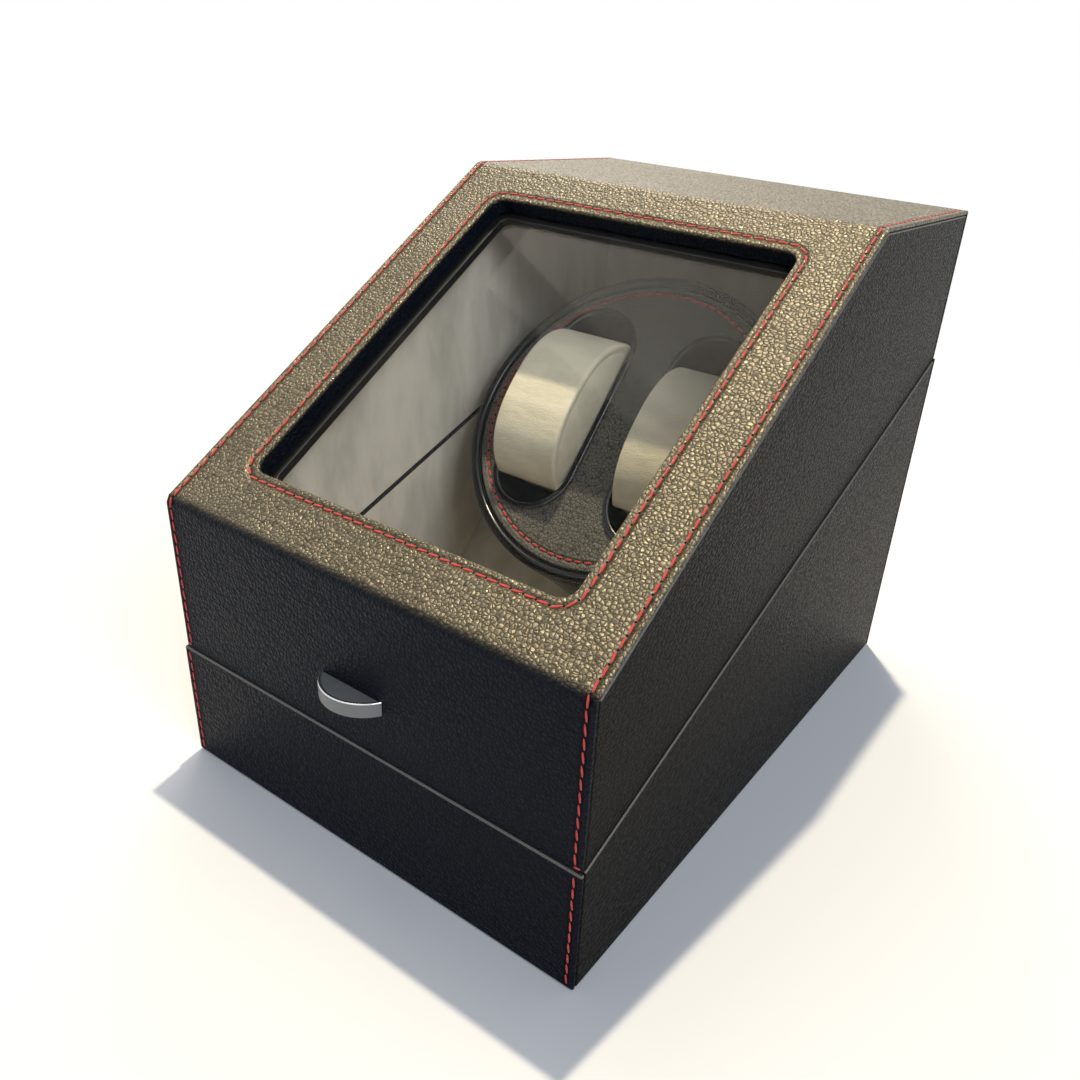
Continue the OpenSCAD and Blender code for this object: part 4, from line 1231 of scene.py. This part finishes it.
# --- camera and light
@dataclass
class Studio:
    """Pale floor, soft lamps and the camera."""

    eye: Triple = (0.1815, -0.2731, 0.2358)
    azimuth: float = 30.638
    elevation: float = 27.002
    roll: float = 5.582
    lens: float = 30.99
    shift: tuple[float, float] = (-0.0855, 0.0094)
    floor_colour: Colour = (0.64, 0.67, 0.735)
    floor_fade: tuple[float, float] = (330.0, 900.0)
    fill: Colour = (0.31, 0.315, 0.32)

    def camera(self) -> None:
        """Places the camera."""
        azimuth, elevation, roll = (math.radians(a) for a in (self.azimuth, self.elevation, self.roll))
        back = Vector((math.sin(azimuth) * math.cos(elevation), -math.cos(azimuth) * math.cos(elevation),
                       math.sin(elevation)))
        right = (-back).cross(UP).normalized()
        up = right.cross(-back)
        across = right * math.cos(roll) + up * math.sin(roll)
        upward = up * math.cos(roll) - right * math.sin(roll)
        data = bpy.data.cameras.new("camera")
        data.sensor_width = 36.0
        data.lens = self.lens
        data.shift_x, data.shift_y = self.shift
        data.clip_start, data.clip_end = 0.01, 50.0
        camera = linked("camera", data)
        turned = Matrix((across, upward, back)).transposed().to_4x4()
        camera.matrix_world = Matrix.Translation(self.eye) @ turned
        bpy.context.scene.camera = camera

    def lamp(self, name: str, towards: Sequence[float], distance: float, size: float, light: float,
             colour: Colour) -> None:
        """Adds a soft square lamp.

        Args:
            name: Its name.
            towards: Direction from the box to the lamp.
            distance: How far away it stands, in metres.
            size: Its side in metres.
            light: The light that reaches a surface facing it, where pi lights white fully.
            colour: Its colour.
        """
        data = bpy.data.lights.new(name, "AREA")
        data.shape, data.size = "SQUARE", size
        data.energy = light * math.pi * distance ** 2
        data.color = colour
        lamp = linked(name, data)
        way = Vector(towards).normalized()
        lamp.location = Vector((0, 0, 0.12)) + way * distance
        lamp.visible_camera = False
        lamp.rotation_mode = "QUATERNION"
        lamp.rotation_quaternion = way.to_track_quat("Z", "Y")

    def floor(self) -> None:
        """Builds the floor, which fades into the white backdrop."""
        bm = bmesh.new()
        bmesh.ops.create_circle(bm, cap_ends=True, segments=96, radius=1.6)
        mesh = bpy.data.meshes.new("floor")
        bm.to_mesh(mesh)
        bm.free()
        graph = Graph("floor_paper")
        graph.surface(Base_Color=self.floor_colour, Roughness=1.0, Specular_IOR_Level=0.0)
        reach = graph.vector("LENGTH", graph.at())
        mesh.materials.append(graph.seen_through(graph.ease(reach, *self.floor_fade)))
        linked("floor", mesh)

    def backdrop(self) -> None:
        """Sets the world: white where it is seen, and a plain fill light elsewhere."""
        world = bpy.data.worlds.new("backdrop")
        nodes = Nodes(world)
        path = nodes.node("LightPath", {}).outputs
        seen = nodes.maths("MAXIMUM", path["Is Camera Ray"], path["Is Glossy Ray"])
        seen = nodes.maths("MAXIMUM", seen, path["Is Transmission Ray"])
        light = nodes.node("Background", {"Color": nodes.mixed(seen, self.fill, (1.0, 1.0, 1.0))})
        nodes.node("OutputWorld", {"Surface": light.outputs[0]})
        bpy.context.scene.world = world

    def build(self) -> None:
        """Builds camera, lamps, floor and backdrop."""
        self.camera()
        self.lamp("lamp_above", (-0.10, 0.19, 0.98), 2.2, 0.05, 3.4, (1.0, 0.86, 0.60))
        self.lamp("lamp_right", (0.75, -0.30, 0.60), 2.0, 0.9, 1.6, (0.96, 0.98, 1.0))
        self.lamp("lamp_sheen", (-0.36, 0.20, 0.90), 1.6, 0.8, 1.0, (1.0, 0.90, 0.74))
        self.lamp("lamp_back", (-0.55, 0.62, 0.56), 2.2, 0.9, 0.7, (1.0, 0.97, 0.92))
        self.floor()
        self.backdrop()
        bpy.context.scene.view_settings.view_transform = "Standard"


def main() -> None:
    """Builds the box piece by piece, in order."""
    logging.basicConfig(level=logging.INFO, format="%(name)s %(message)s")
    Studio().build()
    BaseCase().build()
    LidCase().build()
    Carcass().build()
    Window().build()
    LiftTab().build()
    Turntable().build()
    Pillow("pillow_left_suede", "pillow_left", Body.LEFT_PILLOW, -26.5).build()
    Pillow("pillow_right_suede", "pillow_right", Body.RIGHT_PILLOW, 27.3, sunk=8.0, ahead=2.6).build()
    DRIVE.build()
    REAR_CONTROLS.build()
    FITTINGS.build()


if __name__ == "__main__":
    main()
